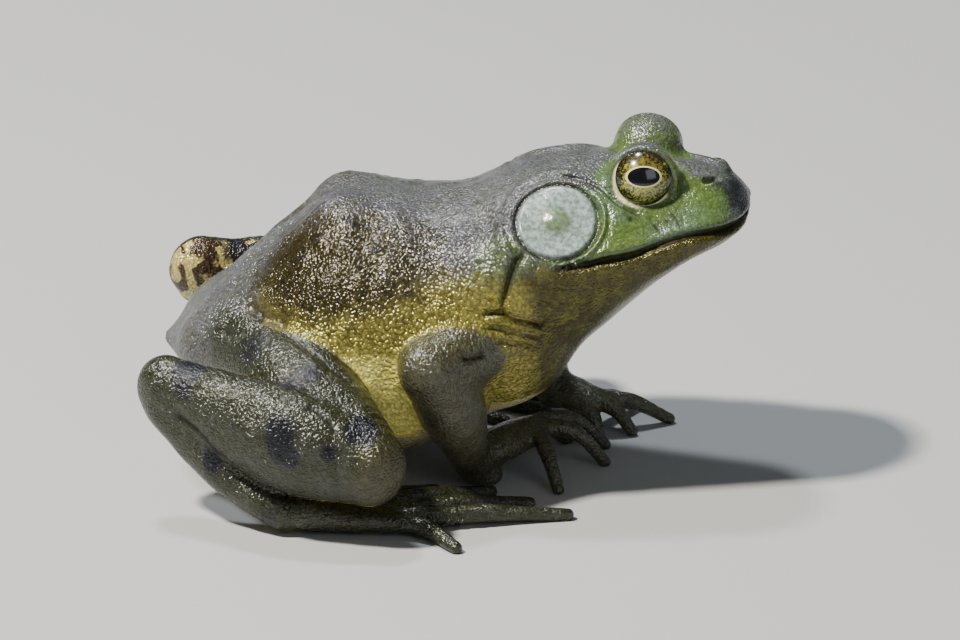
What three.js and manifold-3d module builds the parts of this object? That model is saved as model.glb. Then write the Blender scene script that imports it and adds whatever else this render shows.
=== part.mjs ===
// A male American bullfrog at life size, sitting alert with its head raised and its rump off the ground.
// Units are millimetres. +X runs to the snout, +Y to the frog's left and +Z up. Both feet and both hands
// stand on the plane Z = 0. "out" is a distance from the midline towards the outside, whichever the side.
import * as THREE from "three";
import { mergeVertices } from "three/addons/utils/BufferGeometryUtils.js";
import Module from "manifold-3d";

const wasm = await Module();
wasm.setup();

const GAP = 0.3; // between neighbouring solids
const RIGHT = -1;
const LEFT = 1;

// ---------------------------------------------------------------------------------------------------
// Driving dimensions
// ---------------------------------------------------------------------------------------------------

// Trunk and head in the side view, from the vent to the snout: height of the back, of the line where the
// body is widest, and of the belly and throat, each as [x, z].
const BACK = [[-68, 31], [-57, 42], [-47, 51.4], [-36, 61.4], [-28, 68.6], [-21, 72], [-12, 72.2],
  [0, 71.8], [10, 73.4], [22, 78], [32, 80.6], [42, 82], [54, 82], [66, 80.7],
  [82, 80.6]];
const WIDEST = [[-68, 31], [-50, 33], [-20, 36], [2, 38], [16, 48], [28, 60], [42, 64.5], [82, 67.5]];
const BELLY = [[-68, 31], [-58, 24], [-44, 14], [-28, 7.5], [-8, 6], [6, 9.5], [18, 17], [30, 27.2],
  [44, 39], [58, 52.2], [68, 59.8], [82, 64.8]];
// The body's half width, as [x, out].
const HALF_WIDTH = [[-68, 8], [-60, 14], [-50, 22], [-38, 30], [-24, 35.5], [-8, 37], [6, 34.5],
  [18, 31], [34, 30.6], [48, 28], [60, 25], [82, 25]];
// How square the section is above and below its widest line: 2 is an ellipse, 1 a tent.
const SQUARE_ABOVE = [[-60, 1.9], [-20, 1.95], [14, 2], [30, 2.2], [40, 1.9], [48, 1.45], [60, 1.45],
  [74, 1.9]];
const SQUARE_BELOW = [[-60, 2], [0, 2.1], [40, 2], [70, 2.2]];

const SNOUT_TIP = 79.9;
const SNOUT_TIP_HEIGHT = 70.5;
const SNOUT_ROUND = 21; // length of the snout that rounds off to the tip
const CHIN_SQUARE = 7; // the lower jaw stays deep nearly to its tip
const VENT = -67.5;
const VENT_HEIGHT = 31.5;
const VENT_ROUND = 10;

const EYE = { x: 53.7, out: 10.8, z: 80, radius: 8.2 };
const LID_AXIS = { forward: 0.05, out: 0.988, up: 0.14 }; // the way the opening between the lids faces
const LID_RADIUS = 9.7;
const LID_EDGE = 3.4; // how far along that axis the lids reach
const LID_BLEND = 2.6;

const TYMPANUM = { x: 33, out: 22.3, z: 72, radius: 10.3, depth: 1.4, proud: 0.7 };
const TYMPANUM_AXIS = { forward: 0.05, out: 0.765, up: 0.644 };
const TYMPANUM_FLAT = 11.7; // radius of the flat in the cheek that holds it

// The line of the mouth in the side view, from its corner to the front, as [x, z].
const MOUTH = [[33, 62.6], [40, 63.2], [50, 65], [57, 66.8], [62, 68.5], [68, 69.3], [75, 69], [82, 69.1]];
const NECK = { x: 24, z: 48, lean: 0.35 }; // the cut between head and trunk leans back as it rises

const NOSTRIL = { x: 70.9, out: 7.9, z: 77.9, radius: 1.15 };

// Limbs: the joints of each limb from the body outwards, as [x, out, z].
const ARM_RIGHT = {
  shoulder: [25, 17, 43], elbow: [2.5, 40, 38.5], wrist: [11.4, 18.5, 7.2], knuckles: [26, 3.5, 10],
};
const ARM_LEFT = {
  shoulder: [25, 17, 43], elbow: [17, 42.5, 36], wrist: [28.5, 27.5, 10.4], knuckles: [38.5, 23.5, 8.4],
};
// Fingers, thumb first, as [knuckle, middle joint, tip], each [x, out, z]; a negative out crosses the
// midline.
const FINGERS_RIGHT = [
  [[23, -0.5, 8], [29, -7, 7], [33.5, -14, 1.1]],
  [[26, 1, 10.6], [35.5, -5.5, 9.6], [43.4, -10.4, 1.1]],
  [[27, 4, 10.8], [36.5, 3, 9.4], [44, 1.7, 1.1]],
  [[25.6, 6.4, 10], [29.6, 14, 9], [33.6, 22, 1.1]],
];
const FINGERS_LEFT = [
  [[36, 21, 7.2], [39.4, 18.4, 5.6], [41.4, 16.4, 1.1]],
  [[39, 22, 8.8], [45, 21.4, 6.8], [49.6, 20.4, 1.1]],
  [[39.6, 24.6, 8.8], [50, 27.4, 6.2], [58.6, 30, 1.1]],
  [[38, 26.6, 7.6], [44, 33, 5.4], [50, 39.6, 1.1]],
];
const LEG_RIGHT = { hip: [-43, 12, 35], thigh: [-27, 38, 30], knee: [-11, 57, 21], heel: [-60.9, 40, 32] };
const LEG_LEFT = { hip: [-43, 12, 35], thigh: [-27, 38, 31], knee: [-11, 57, 22], heel: [-61.5, 43, 34.4] };
const INSTEP = [-33, 53, 5.4];
const METATARSUS_END = [-6, 50.5, 3.6];
// Toes, inner first, as [root, middle joint, tip], each [x, out, z].
const TOES = [
  [[-20, 47, 3.7], [-8, 34, 3.1], [3, 24, 1.2]],
  [[-15, 47.6, 3.7], [2, 34, 3.1], [17, 25, 1.2]],
  [[-11, 49, 3.7], [9, 38.6, 3.1], [27, 32.4, 1.2]],
  [[-8, 51, 3.7], [15, 45, 3.1], [37, 39.6, 1.2]],
  [[-12, 54, 3.7], [2, 55, 3.1], [11, 64, 1.2]],
];
const LONGEST_TOE = 3;
const WEB_THICKNESS = 0.9;

// ---------------------------------------------------------------------------------------------------
// Curves and fields
// ---------------------------------------------------------------------------------------------------

/** A smooth function through knots [x, value], level beyond its ends. */
function profile(knots) {
  const last = knots.length - 1;
  const slope = (i) => {
    const [x0, y0] = knots[Math.max(i - 1, 0)];
    const [x1, y1] = knots[Math.min(i + 1, last)];
    return (y1 - y0) / (x1 - x0);
  };
  return (x) => {
    if (x <= knots[0][0]) return knots[0][1];
    if (x >= knots[last][0]) return knots[last][1];
    const i = knots.findIndex((knot) => knot[0] > x) - 1;
    const [x0, y0] = knots[i];
    const [x1, y1] = knots[i + 1];
    const width = x1 - x0;
    const t = (x - x0) / width;
    const rise = t * t * (3 - 2 * t);
    return y0 + (y1 - y0) * rise
      + width * (slope(i) * t * (1 - t) ** 2 - slope(i + 1) * t * t * (1 - t));
  };
}

const smoothMin = (a, b, blend) => {
  const h = Math.max(blend - Math.abs(a - b), 0) / blend;
  return Math.min(a, b) - (h * h * blend) / 4;
};
const smoothMax = (a, b, blend) => -smoothMin(-a, -b, blend);

const back = profile(BACK);
const widest = profile(WIDEST);
const belly = profile(BELLY);
const halfWidth = profile(HALF_WIDTH);
const squareAbove = profile(SQUARE_ABOVE);
const squareBelow = profile(SQUARE_BELOW);

/** How much of the section is left at x where the snout or the rump rounds off: 1 in between. */
function rounding(x, square) {
  const ahead = (x - (SNOUT_TIP - SNOUT_ROUND)) / SNOUT_ROUND;
  const behind = (VENT + VENT_ROUND - x) / VENT_ROUND;
  const share = Math.min(Math.max(ahead, behind, 0), 1);
  return (1 - share ** square) ** (1 / 2);
}

/** The trunk's and head's cross-section at x. */
function section(x) {
  const pole = x > 0 ? SNOUT_TIP_HEIGHT : VENT_HEIGHT;
  const round = rounding(x, 2);
  const chin = x > 0 ? rounding(x, CHIN_SQUARE) : round;
  const middle = pole + (widest(x) - pole) * round;
  return {
    half: halfWidth(x) * round,
    middle,
    above: pole + (back(x) - pole) * round - middle,
    below: middle - (pole + (belly(x) - pole) * chin),
    squareAbove: squareAbove(x),
    squareBelow: squareBelow(x),
  };
}

/** Distance outside the lofted trunk and head, measured in the section's own plane. */
function sectionField(cut, y, z) {
  const rise = z - cut.middle;
  const [tall, square] = rise > 0 ? [cut.above, cut.squareAbove] : [cut.below, cut.squareBelow];
  const across = Math.abs(y) / Math.max(cut.half, 0.01);
  const along = Math.abs(rise) / Math.max(tall, 0.01);
  const share = (across ** square + along ** square) ** (1 / square);
  return Math.hypot(y, rise) * (1 - 1 / Math.max(share, 1e-6));
}

/** Distance outside an ellipsoid with its axes along x, y and z. */
function ellipsoidField(p, centre, radii) {
  const q = p.clone().sub(centre);
  const k = Math.hypot(q.x / radii.x, q.y / radii.y, q.z / radii.z);
  return (k - 1) * Math.min(radii.x, radii.y, radii.z);
}

/** Distance outside a rod with round ends from a to b. */
function rodField(p, a, b, radius) {
  const line = b.clone().sub(a);
  const t = THREE.MathUtils.clamp(p.clone().sub(a).dot(line) / line.lengthSq(), 0, 1);
  return p.distanceTo(a.clone().addScaledVector(line, t)) - radius;
}

const place = ([x, out, z], side) => new THREE.Vector3(x, side * out, z);
const axisOf = (axis, side) => new THREE.Vector3(axis.forward, side * axis.out, axis.up).normalize();
const eyeCentre = (side) => place([EYE.x, EYE.out, EYE.z], side);

// Fleshy masses that blend into the trunk and head, each [x, out, z], [radii] and blend.
const MASSES = [
  { name: "jaw muscle", at: [27, 23, 60], radii: [12, 7, 9], blend: 6 },
  { name: "shoulder", at: [16, 22, 50], radii: [14, 9, 13], blend: 8 },
  { name: "breast", at: [20, 12, 33], radii: [14, 14, 12], blend: 8 },
  { name: "sacral knob", at: [-20, 8, 65.6], radii: [7, 5.5, 6], blend: 5 },
  { name: "buttock", at: [-50, 11, 34], radii: [12, 8.5, 9], blend: 6 },
];

/** Distance outside the trunk and head with everything that blends into them. */
function bodyField(cut, p) {
  const mirrored = new THREE.Vector3(p.x, Math.abs(p.y), p.z);
  let field = sectionField(cut, p.y, p.z);
  for (const mass of MASSES) {
    const found = ellipsoidField(mirrored, place(mass.at, 1), new THREE.Vector3(...mass.radii));
    field = smoothMin(field, found, mass.blend);
  }
  // The ridge from the eye to the nostril, and the swelling round the nostril.
  const ridge = rodField(mirrored, place([62, 9, 78.4], 1), place([72.5, 6.6, 76.4], 1), 1.7);
  field = smoothMin(field, ridge, 2.5);
  // The eyelids: a ball round the eye, open where the eye looks out.
  const eye = eyeCentre(1);
  const opening = mirrored.clone().sub(eye).dot(axisOf(LID_AXIS, 1)) - LID_EDGE;
  const lids = smoothMax(mirrored.distanceTo(eye) - LID_RADIUS, opening, 0.8);
  field = smoothMin(field, lids, LID_BLEND);
  // The flat in the cheek that the eardrum sits in leaves a fold of skin above and behind it.
  const fromDrum = mirrored.clone().sub(place([TYMPANUM.x, TYMPANUM.out, TYMPANUM.z], 1));
  const drumAxis = axisOf(TYMPANUM_AXIS, 1);
  const depth = fromDrum.dot(drumAxis);
  const reach = Math.sqrt(Math.max(fromDrum.lengthSq() - depth * depth, 0));
  return smoothMax(field, Math.min(depth, TYMPANUM_FLAT - reach), 1.3);
}

// ---------------------------------------------------------------------------------------------------
// Solids
// ---------------------------------------------------------------------------------------------------

/** A geometry from rings of points between two poles. Rings turn anticlockwise seen from the far pole. */
function ringGeometry(firstPole, rings, lastPole) {
  const sides = rings[0].length;
  const points = [firstPole, ...rings.flat(), lastPole];
  const index = [];
  const at = (ring, i) => 1 + ring * sides + (i % sides);
  for (let i = 0; i < sides; i++) {
    index.push(0, at(0, i + 1), at(0, i));
    index.push(points.length - 1, at(rings.length - 1, i), at(rings.length - 1, i + 1));
    for (let ring = 0; ring + 1 < rings.length; ring++) {
      index.push(at(ring, i), at(ring, i + 1), at(ring + 1, i + 1));
      index.push(at(ring, i), at(ring + 1, i + 1), at(ring + 1, i));
    }
  }
  return new THREE.BufferGeometry().setFromPoints(points).setIndex(index);
}

/** The manifold solid of a closed geometry. */
function solidOf(geometry) {
  const bare = geometry.clone();
  bare.deleteAttribute("normal");
  bare.deleteAttribute("uv");
  const merged = mergeVertices(bare, 1e-4);
  return new wasm.Manifold(new wasm.Mesh({
    numProp: 3,
    vertProperties: new Float32Array(merged.attributes.position.array),
    triVerts: new Uint32Array(merged.index.array),
  }));
}

/** The largest single body of a solid: a cut can leave crumbs. */
function largest(solid) {
  return solid.decompose().reduce((a, b) => (b.volume() > a.volume() ? b : a));
}

/** Everything on one side of a plane, as a big block. */
function halfSpace(point, normal) {
  const size = 400;
  const block = new THREE.BoxGeometry(size, size, size).translate(0, 0, size / 2);
  const turn = new THREE.Quaternion().setFromUnitVectors(
    new THREE.Vector3(0, 0, 1), normal.clone().normalize());
  return solidOf(block.applyQuaternion(turn).translate(point.x, point.y, point.z));
}

/** A round-ended tube through points, with an elliptical section whose half sizes follow girth(t). */
function limb({ path, wide, thick, facing = [0, 0, 1], rings = 8, sides = 12, ends = [0.42, 1], grow = 0 }) {
  const curve = new THREE.CatmullRomCurve3(path, false, "centripetal");
  const reference = new THREE.Vector3(...facing);
  const wideAt = profile(wide);
  const thickAt = profile(thick ?? wide);
  const ringAt = (t, centre, scale) => {
    const tangent = curve.getTangentAt(t);
    const across = new THREE.Vector3().crossVectors(reference, tangent).normalize();
    const over = new THREE.Vector3().crossVectors(tangent, across);
    return Array.from({ length: sides }, (_, i) => {
      const angle = (2 * Math.PI * (i + 0.5)) / sides;
      return centre.clone()
        .addScaledVector(across, (wideAt(t) + grow) * scale * Math.cos(angle))
        .addScaledVector(over, (thickAt(t) + grow) * scale * Math.sin(angle));
    });
  };
  // Each end is half an ellipsoid, as long as the section is thick.
  const endPoint = (t, direction, height) => curve.getPointAt(t)
    .addScaledVector(curve.getTangentAt(t), direction * height * (thickAt(t) + grow));
  const made = [
    ...ends.map((a) => ringAt(0, endPoint(0, -1, Math.cos(a)), Math.sin(a))),
    ...Array.from({ length: rings + 1 }, (_, i) => ringAt(i / rings, curve.getPointAt(i / rings), 1)),
    ...ends.map((a) => ringAt(1, endPoint(1, 1, Math.cos(a)), Math.sin(a))).reverse(),
  ];
  return solidOf(ringGeometry(endPoint(0, -1, 1), made, endPoint(1, 1, 1)));
}

/** An ellipsoid with its axes along x, y and z. */
function ellipsoid(centre, [rx, ry, rz], across = 16, down = 10) {
  const ball = new THREE.SphereGeometry(1, across, down).scale(rx, ry, rz);
  return solidOf(ball.translate(centre.x, centre.y, centre.z));
}

/** A ball of radius r that the axis passes through from pole to pole. */
function ball(centre, radius, axis, across = 24, down = 14) {
  const turn = new THREE.Quaternion().setFromUnitVectors(new THREE.Vector3(0, 1, 0), axis);
  const made = new THREE.SphereGeometry(radius, across, down).applyQuaternion(turn);
  return solidOf(made.translate(centre.x, centre.y, centre.z));
}

/** A sheet of even thickness over pointAt(u, v), u and v from 0 to 1. */
function sheet(pointAt, across, along, thickness) {
  const half = new THREE.Vector3(0, 0, thickness / 2);
  const points = [];
  for (const lift of [1, -1])
    for (let j = 0; j <= along; j++)
      for (let i = 0; i <= across; i++)
        points.push(pointAt(i / across, j / along).addScaledVector(half, lift));
  const at = (layer, i, j) => (layer * (along + 1) + j) * (across + 1) + i;
  const index = [];
  const quad = (a, b, c, d) => index.push(a, b, c, a, c, d);
  for (let j = 0; j < along; j++)
    for (let i = 0; i < across; i++) {
      quad(at(0, i, j), at(0, i + 1, j), at(0, i + 1, j + 1), at(0, i, j + 1));
      quad(at(1, i, j), at(1, i, j + 1), at(1, i + 1, j + 1), at(1, i + 1, j));
    }
  for (let i = 0; i < across; i++) {
    quad(at(1, i, 0), at(1, i + 1, 0), at(0, i + 1, 0), at(0, i, 0));
    quad(at(0, i, along), at(0, i + 1, along), at(1, i + 1, along), at(1, i, along));
  }
  for (let j = 0; j < along; j++) {
    quad(at(0, 0, j), at(0, 0, j + 1), at(1, 0, j + 1), at(1, 0, j));
    quad(at(1, across, j), at(1, across, j + 1), at(0, across, j + 1), at(0, across, j));
  }
  const made = solidOf(new THREE.BufferGeometry().setFromPoints(points).setIndex(index));
  if (made.volume() > 0) return made;
  for (let i = 0; i < index.length; i += 3) [index[i + 1], index[i + 2]] = [index[i + 2], index[i + 1]];
  return solidOf(new THREE.BufferGeometry().setFromPoints(points).setIndex(index));
}

const join = (solids) => solids.reduce((a, b) => a.add(b));
const FLOOR = halfSpace(new THREE.Vector3(0, 0, 0), new THREE.Vector3(0, 0, 1));

// ---------------------------------------------------------------------------------------------------
// Trunk and head
// ---------------------------------------------------------------------------------------------------

const BODY_SIDES = 28;

/** Where the rings of the body stand: close together at the ends and on the head. */
function bodyStations() {
  const stations = [];
  const rearSteps = 4;
  for (let i = 1; i < rearSteps; i++)
    stations.push(VENT + VENT_ROUND * (1 - Math.cos((Math.PI / 2) * (i / rearSteps))));
  for (let x = VENT + VENT_ROUND; x < 16; x += 7.2) stations.push(x);
  for (let x = 20; x < SNOUT_TIP - 9; x += 3.2) stations.push(x);
  const snoutSteps = 5;
  for (let i = snoutSteps; i > 0; i--)
    stations.push(SNOUT_TIP - 9.4 * (1 - Math.cos((Math.PI / 2) * (i / snoutSteps))));
  return stations;
}

/** The trunk and head as one solid, found by casting rays out from the middle of each section. */
function bodySolid(grow = 0) {
  const rings = bodyStations().map((x) => {
    const cut = section(x);
    const centre = new THREE.Vector3(x, 0, cut.middle + (cut.above - cut.below) * 0.15);
    return Array.from({ length: BODY_SIDES }, (_, i) => {
      const angle = (2 * Math.PI * (i + 0.5)) / BODY_SIDES;
      const ray = new THREE.Vector3(0, Math.cos(angle), Math.sin(angle));
      let inside = 0;
      let outside = 60;
      for (let step = 0; step < 24; step++) {
        const reach = (inside + outside) / 2;
        if (bodyField(cut, centre.clone().addScaledVector(ray, reach)) < grow) inside = reach;
        else outside = reach;
      }
      return centre.clone().addScaledVector(ray, inside);
    });
  });
  return solidOf(ringGeometry(
    new THREE.Vector3(VENT - grow, 0, VENT_HEIGHT), rings,
    new THREE.Vector3(SNOUT_TIP + grow, 0, SNOUT_TIP_HEIGHT)));
}

const body = bodySolid();
const bodyWithGap = bodySolid(GAP);

const neckNormal = new THREE.Vector3(1, 0, NECK.lean).normalize();
const neckPoint = new THREE.Vector3(NECK.x, 0, NECK.z);
const neckSide = (sign) => halfSpace(
  neckPoint.clone().addScaledVector(neckNormal, (sign * GAP) / 2), neckNormal.clone().multiplyScalar(sign));

/** A solid between the line of the mouth, moved up by lift, and a level far above or below it. */
function mouthBlock(lift, level) {
  const line = profile(MOUTH);
  const edge = [];
  for (let x = -20; x <= 100; x += 4) edge.push(new THREE.Vector2(x, line(x) + lift));
  const outline = [...edge, new THREE.Vector2(100, level), new THREE.Vector2(-20, level)];
  const block = new THREE.ExtrudeGeometry(new THREE.Shape(outline), { depth: 100, bevelEnabled: false });
  return solidOf(block.rotateX(Math.PI / 2).translate(0, 50, 0));
}

/** The drum of the ear: a shallow dome with a small boss in its middle, set into the cheek. */
function tympanum(side, grow = 0) {
  const { radius, depth, proud } = TYMPANUM;
  const outline = [
    [0, -depth - grow], [radius + grow, -depth - grow], [radius + grow, 0.1 + grow],
    [radius * 0.93 + grow, proud + grow], [radius * 0.78, proud * 0.4 + grow],
    [radius * 0.3, proud * 0.6 + grow], [0, proud + 0.6 + grow],
  ].map(([r, h]) => new THREE.Vector2(r, h));
  const turn = new THREE.Quaternion().setFromUnitVectors(
    new THREE.Vector3(0, 1, 0), axisOf(TYMPANUM_AXIS, side));
  const centre = place([TYMPANUM.x, TYMPANUM.out, TYMPANUM.z], side);
  const disc = new THREE.LatheGeometry(outline, 18).applyQuaternion(turn);
  return solidOf(disc.translate(centre.x, centre.y, centre.z));
}

const eyeball = (side, grow = 0) => ball(eyeCentre(side), EYE.radius + grow, axisOf(LID_AXIS, side), 14, 8);
const nostril = (side) => ellipsoid(
  place([NOSTRIL.x, NOSTRIL.out, NOSTRIL.z], side),
  [NOSTRIL.radius * 1.3, NOSTRIL.radius * 1.6, NOSTRIL.radius], 8, 4);

let head = body.intersect(neckSide(1)).intersect(mouthBlock(GAP / 2, 160));
for (const side of [RIGHT, LEFT])
  head = head.subtract(eyeball(side, GAP)).subtract(tympanum(side, GAP)).subtract(nostril(side));
head = largest(head);
const lowerJaw = largest(body.intersect(neckSide(1)).intersect(mouthBlock(-GAP / 2, -40)));
const trunk = largest(body.intersect(neckSide(-1)));

// ---------------------------------------------------------------------------------------------------
// Arms and hands
// ---------------------------------------------------------------------------------------------------

/** A digit through its joints: thicker at its joints, with a blunt round end. */
function digit({ joints, thick }) {
  return limb({
    path: joints,
    wide: [[0, 1.15], [0.4, 0.98], [0.55, 1.04], [0.75, 0.84], [1, 0.72]].map(([t, r]) => [t, r * thick]),
    rings: 4, sides: 6, ends: [0.8],
  });
}

/** One arm's three solids. */
function arm(joints, fingers, side) {
  const [shoulder, elbow, wrist, knuckles] =
    ["shoulder", "elbow", "wrist", "knuckles"].map((joint) => place(joints[joint], side));
  const upperArm = (grow) => limb({
    path: [shoulder, shoulder.clone().lerp(elbow, 0.5), elbow],
    wide: [[0, 8.5], [0.6, 7.6], [1, 7]], thick: [[0, 10], [0.6, 8.2], [1, 7]],
    rings: 3, sides: 10, grow,
  });
  const swell = elbow.clone().lerp(wrist, 0.4).add(place([1.5, 0.5, 0], side));
  const forearm = (grow) => limb({
    path: [elbow, swell, wrist],
    wide: [[0, 6.4], [0.3, 8.8], [0.65, 7.6], [1, 5]], thick: [[0, 6.6], [0.35, 8], [0.7, 6.6], [1, 4.4]],
    facing: [1, 0, 0.3], rings: 5, sides: 10, grow,
  });
  const palm = limb({
    path: [wrist.clone().lerp(knuckles, 0.12), wrist.clone().lerp(knuckles, 0.55), knuckles],
    wide: [[0, 4.6], [0.5, 6.2], [1, 5.4]], thick: [[0, 4], [0.5, 3.8], [1, 3]],
    rings: 2, sides: 8, ends: [0.8],
  });
  const middle = wrist.clone().lerp(knuckles, 0.6);
  const digits = fingers.map((joints, i) => digit({
    joints: [middle, ...joints.map((joint) => place(joint, side))], thick: i === 0 ? 2.5 : 2.1,
  }));
  const heel = ellipsoid(wrist.clone().lerp(knuckles, 0.2).setZ(2.2), [5, 4.4, 2.9], 8, 5);
  return {
    upperArm: largest(upperArm(0).subtract(bodyWithGap)),
    forearm: largest(forearm(0).subtract(bodyWithGap).subtract(upperArm(GAP))),
    hand: largest(join([palm, heel, ...digits]).subtract(forearm(GAP)).intersect(FLOOR)),
  };
}

// ---------------------------------------------------------------------------------------------------
// Legs and feet
// ---------------------------------------------------------------------------------------------------

/** The web between two toes: thin, slack in the middle, with a hollowed free edge. */
function web(inner, outer, innerReach, outerReach) {
  const pointAt = (u, v) => {
    const hollow = 1 - 0.42 * Math.sin(Math.PI * u);
    const a = inner.getPoint(v * hollow * innerReach);
    const b = outer.getPoint(v * hollow * outerReach);
    const point = a.lerp(b, u);
    point.z = Math.max(point.z * (1 - 0.45 * Math.sin(Math.PI * u)), WEB_THICKNESS / 2 + 0.15);
    return point;
  };
  return sheet(pointAt, 2, 3, WEB_THICKNESS);
}

/** One leg's four solids. */
function leg(places, side) {
  const [hip, thighMiddle, knee, heel] =
    ["hip", "thigh", "knee", "heel"].map((joint) => place(places[joint], side));
  const instep = place(INSTEP, side);
  const end = place(METATARSUS_END, side);
  const thigh = (grow) => limb({
    path: [hip, thighMiddle, knee],
    wide: [[0, 13.5], [0.45, 13.8], [0.8, 11], [1, 8.8]],
    thick: [[0, 13], [0.45, 12.8], [0.8, 10.6], [1, 8.8]],
    rings: 5, sides: 11, grow,
  });
  const calf = knee.clone().lerp(heel, 0.42).add(place([0, 3, -1], side));
  const shank = (grow) => limb({
    path: [knee.clone().add(place([-0.4, 1.2, -1.6], side)), calf, heel],
    wide: [[0, 8], [0.4, 10], [0.8, 7.4], [1, 6.2]], thick: [[0, 9.8], [0.38, 13], [0.8, 9.8], [1, 8.4]],
    facing: [0.2, 0, 1], rings: 5, sides: 11, grow,
  });
  const sole = instep.clone().lerp(heel, 0.45).add(place([-1.6, 1, -4], side));
  const tarsus = (grow) => limb({
    path: [heel.clone().add(place([0, 1, -4], side)), sole, instep],
    wide: [[0, 5.6], [0.5, 5], [1, 5.2]], thick: [[0, 6.4], [0.5, 5.2], [1, 4.6]],
    facing: [1, 0, 0.6], rings: 4, sides: 9, grow,
  });
  const metatarsus = limb({
    path: [instep.clone().lerp(end, 0.12), instep.clone().lerp(end, 0.6), end],
    wide: [[0, 4.8], [0.6, 6], [1, 5.6]], thick: [[0, 4.4], [0.6, 3.8], [1, 3]],
    rings: 3, sides: 8, ends: [0.8],
  });
  const joints = TOES.map((toe) => toe.map((joint) => place(joint, side)));
  const toes = joints.map((toe, i) => digit({ joints: toe, thick: i === 0 ? 2 : 2.3 }));
  const lines = joints.map((toe) => new THREE.CatmullRomCurve3(toe, false, "centripetal"));
  const reach = (i) => (i === LONGEST_TOE ? 0.74 : 0.9);
  const webs = lines.slice(1).map((line, i) => web(lines[i], line, reach(i), reach(i + 1)));
  const tubercle = ellipsoid(place([-25, 47.5, 1.6], side), [4, 2, 2.4], 8, 4);
  return {
    thigh: largest(thigh(0).subtract(bodyWithGap).subtract(shank(GAP))),
    shank: largest(shank(0).subtract(bodyWithGap)),
    tarsus: largest(tarsus(0).subtract(shank(GAP)).subtract(thigh(GAP)).intersect(FLOOR)),
    foot: largest(join([metatarsus, tubercle, ...toes, ...webs]).subtract(tarsus(GAP)).intersect(FLOOR)),
  };
}

// ---------------------------------------------------------------------------------------------------
// The model
// ---------------------------------------------------------------------------------------------------

const skin = (name, color) => new THREE.MeshStandardMaterial({ name, color, roughness: 0.4, metalness: 0 });
const BACK_SKIN = skin("back skin", 0x6b6a52);
const HEAD_SKIN = skin("head skin", 0x6f8a4a);
const THROAT_SKIN = skin("throat skin", 0x9a8a2c);
const LEG_SKIN = skin("leg skin", 0x5a5c48);
const DRUM_SKIN = skin("eardrum", 0x9aa39a);
const EYE_GLOSS = new THREE.MeshStandardMaterial({
  name: "eye", color: 0x8a7a22, roughness: 0.08, metalness: 0,
});

const model = new THREE.Group();

/** Adds a solid to the model as a named mesh. */
function show(name, solid, material) {
  const mesh = solid.getMesh();
  const positions = new Float32Array(mesh.numVert * 3);
  for (let i = 0; i < mesh.numVert; i++)
    positions.set(mesh.vertProperties.subarray(i * mesh.numProp, i * mesh.numProp + 3), i * 3);
  const geometry = new THREE.BufferGeometry()
    .setAttribute("position", new THREE.BufferAttribute(positions, 3))
    .setIndex(new THREE.BufferAttribute(mesh.triVerts, 1));
  geometry.computeVertexNormals();
  const piece = new THREE.Mesh(geometry, material);
  piece.name = name;
  model.add(piece);
}

show("head", head, HEAD_SKIN);
show("lower_jaw", lowerJaw, THROAT_SKIN);
show("trunk", trunk, BACK_SKIN);
for (const [side, word, joints, fingers, places] of [
  [RIGHT, "right", ARM_RIGHT, FINGERS_RIGHT, LEG_RIGHT],
  [LEFT, "left", ARM_LEFT, FINGERS_LEFT, LEG_LEFT],
]) {
  show(`eye_${word}`, eyeball(side), EYE_GLOSS);
  show(`tympanum_${word}`, tympanum(side), DRUM_SKIN);
  const front = arm(joints, fingers, side);
  show(`upper_arm_${word}`, front.upperArm, LEG_SKIN);
  show(`forearm_${word}`, front.forearm, LEG_SKIN);
  show(`hand_${word}`, front.hand, LEG_SKIN);
  const hind = leg(places, side);
  show(`thigh_${word}`, hind.thigh, LEG_SKIN);
  show(`shank_${word}`, hind.shank, LEG_SKIN);
  show(`tarsus_${word}`, hind.tarsus, LEG_SKIN);
  show(`foot_${word}`, hind.foot, LEG_SKIN);
}

// The model's origin is under the middle of its bounding box, on the floor.
const box = new THREE.Box3().setFromObject(model);
const middle = box.getCenter(new THREE.Vector3());
model.position.set(-middle.x, -middle.y, -box.min.z);

export default model;
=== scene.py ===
"""A male American bullfrog at life size: one seamless wet skin and two glossy eyes, on a pale studio floor."""

import logging
import math
from dataclasses import dataclass, field
from enum import Enum
from typing import Dict, List, Optional, Sequence, Tuple

import bpy
import numpy as np
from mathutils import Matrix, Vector


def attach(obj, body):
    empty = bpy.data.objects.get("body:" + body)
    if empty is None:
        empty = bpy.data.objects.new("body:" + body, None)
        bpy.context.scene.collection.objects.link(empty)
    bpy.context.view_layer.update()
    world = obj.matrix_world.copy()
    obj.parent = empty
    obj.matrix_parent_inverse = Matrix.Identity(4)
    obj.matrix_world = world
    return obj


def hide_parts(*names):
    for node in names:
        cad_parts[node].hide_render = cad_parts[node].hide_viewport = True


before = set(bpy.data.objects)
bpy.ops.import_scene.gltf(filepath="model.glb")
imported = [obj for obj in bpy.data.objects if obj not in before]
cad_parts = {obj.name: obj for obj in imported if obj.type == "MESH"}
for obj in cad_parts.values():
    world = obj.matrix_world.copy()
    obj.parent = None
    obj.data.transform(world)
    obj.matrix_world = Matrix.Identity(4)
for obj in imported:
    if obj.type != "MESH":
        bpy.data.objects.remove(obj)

LOG = logging.getLogger("bullfrog")
MM = 0.001
# Where the solids' own origin lies in the model's millimetres, which run from the middle of the body.
MODEL_ORIGIN = np.array([5.131, 0.138, 0.0])
SEED = 7
Knots = Sequence[Tuple[float, float]]
Point = Tuple[float, float, float]


class Side(Enum):
    """A side of the frog. Its value is the sign of Y there."""

    RIGHT = -1
    LEFT = 1


class Mark(Enum):
    """What a stroke of the modelling tool leaves in the skin."""

    GROOVE = -1
    RIDGE = 1


def place(point: Point, side: Side) -> np.ndarray:
    """Returns a point, given by its distance out from the midline, on one side of the body."""
    return np.array([point[0], side.value * point[1], point[2]], float)


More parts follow.
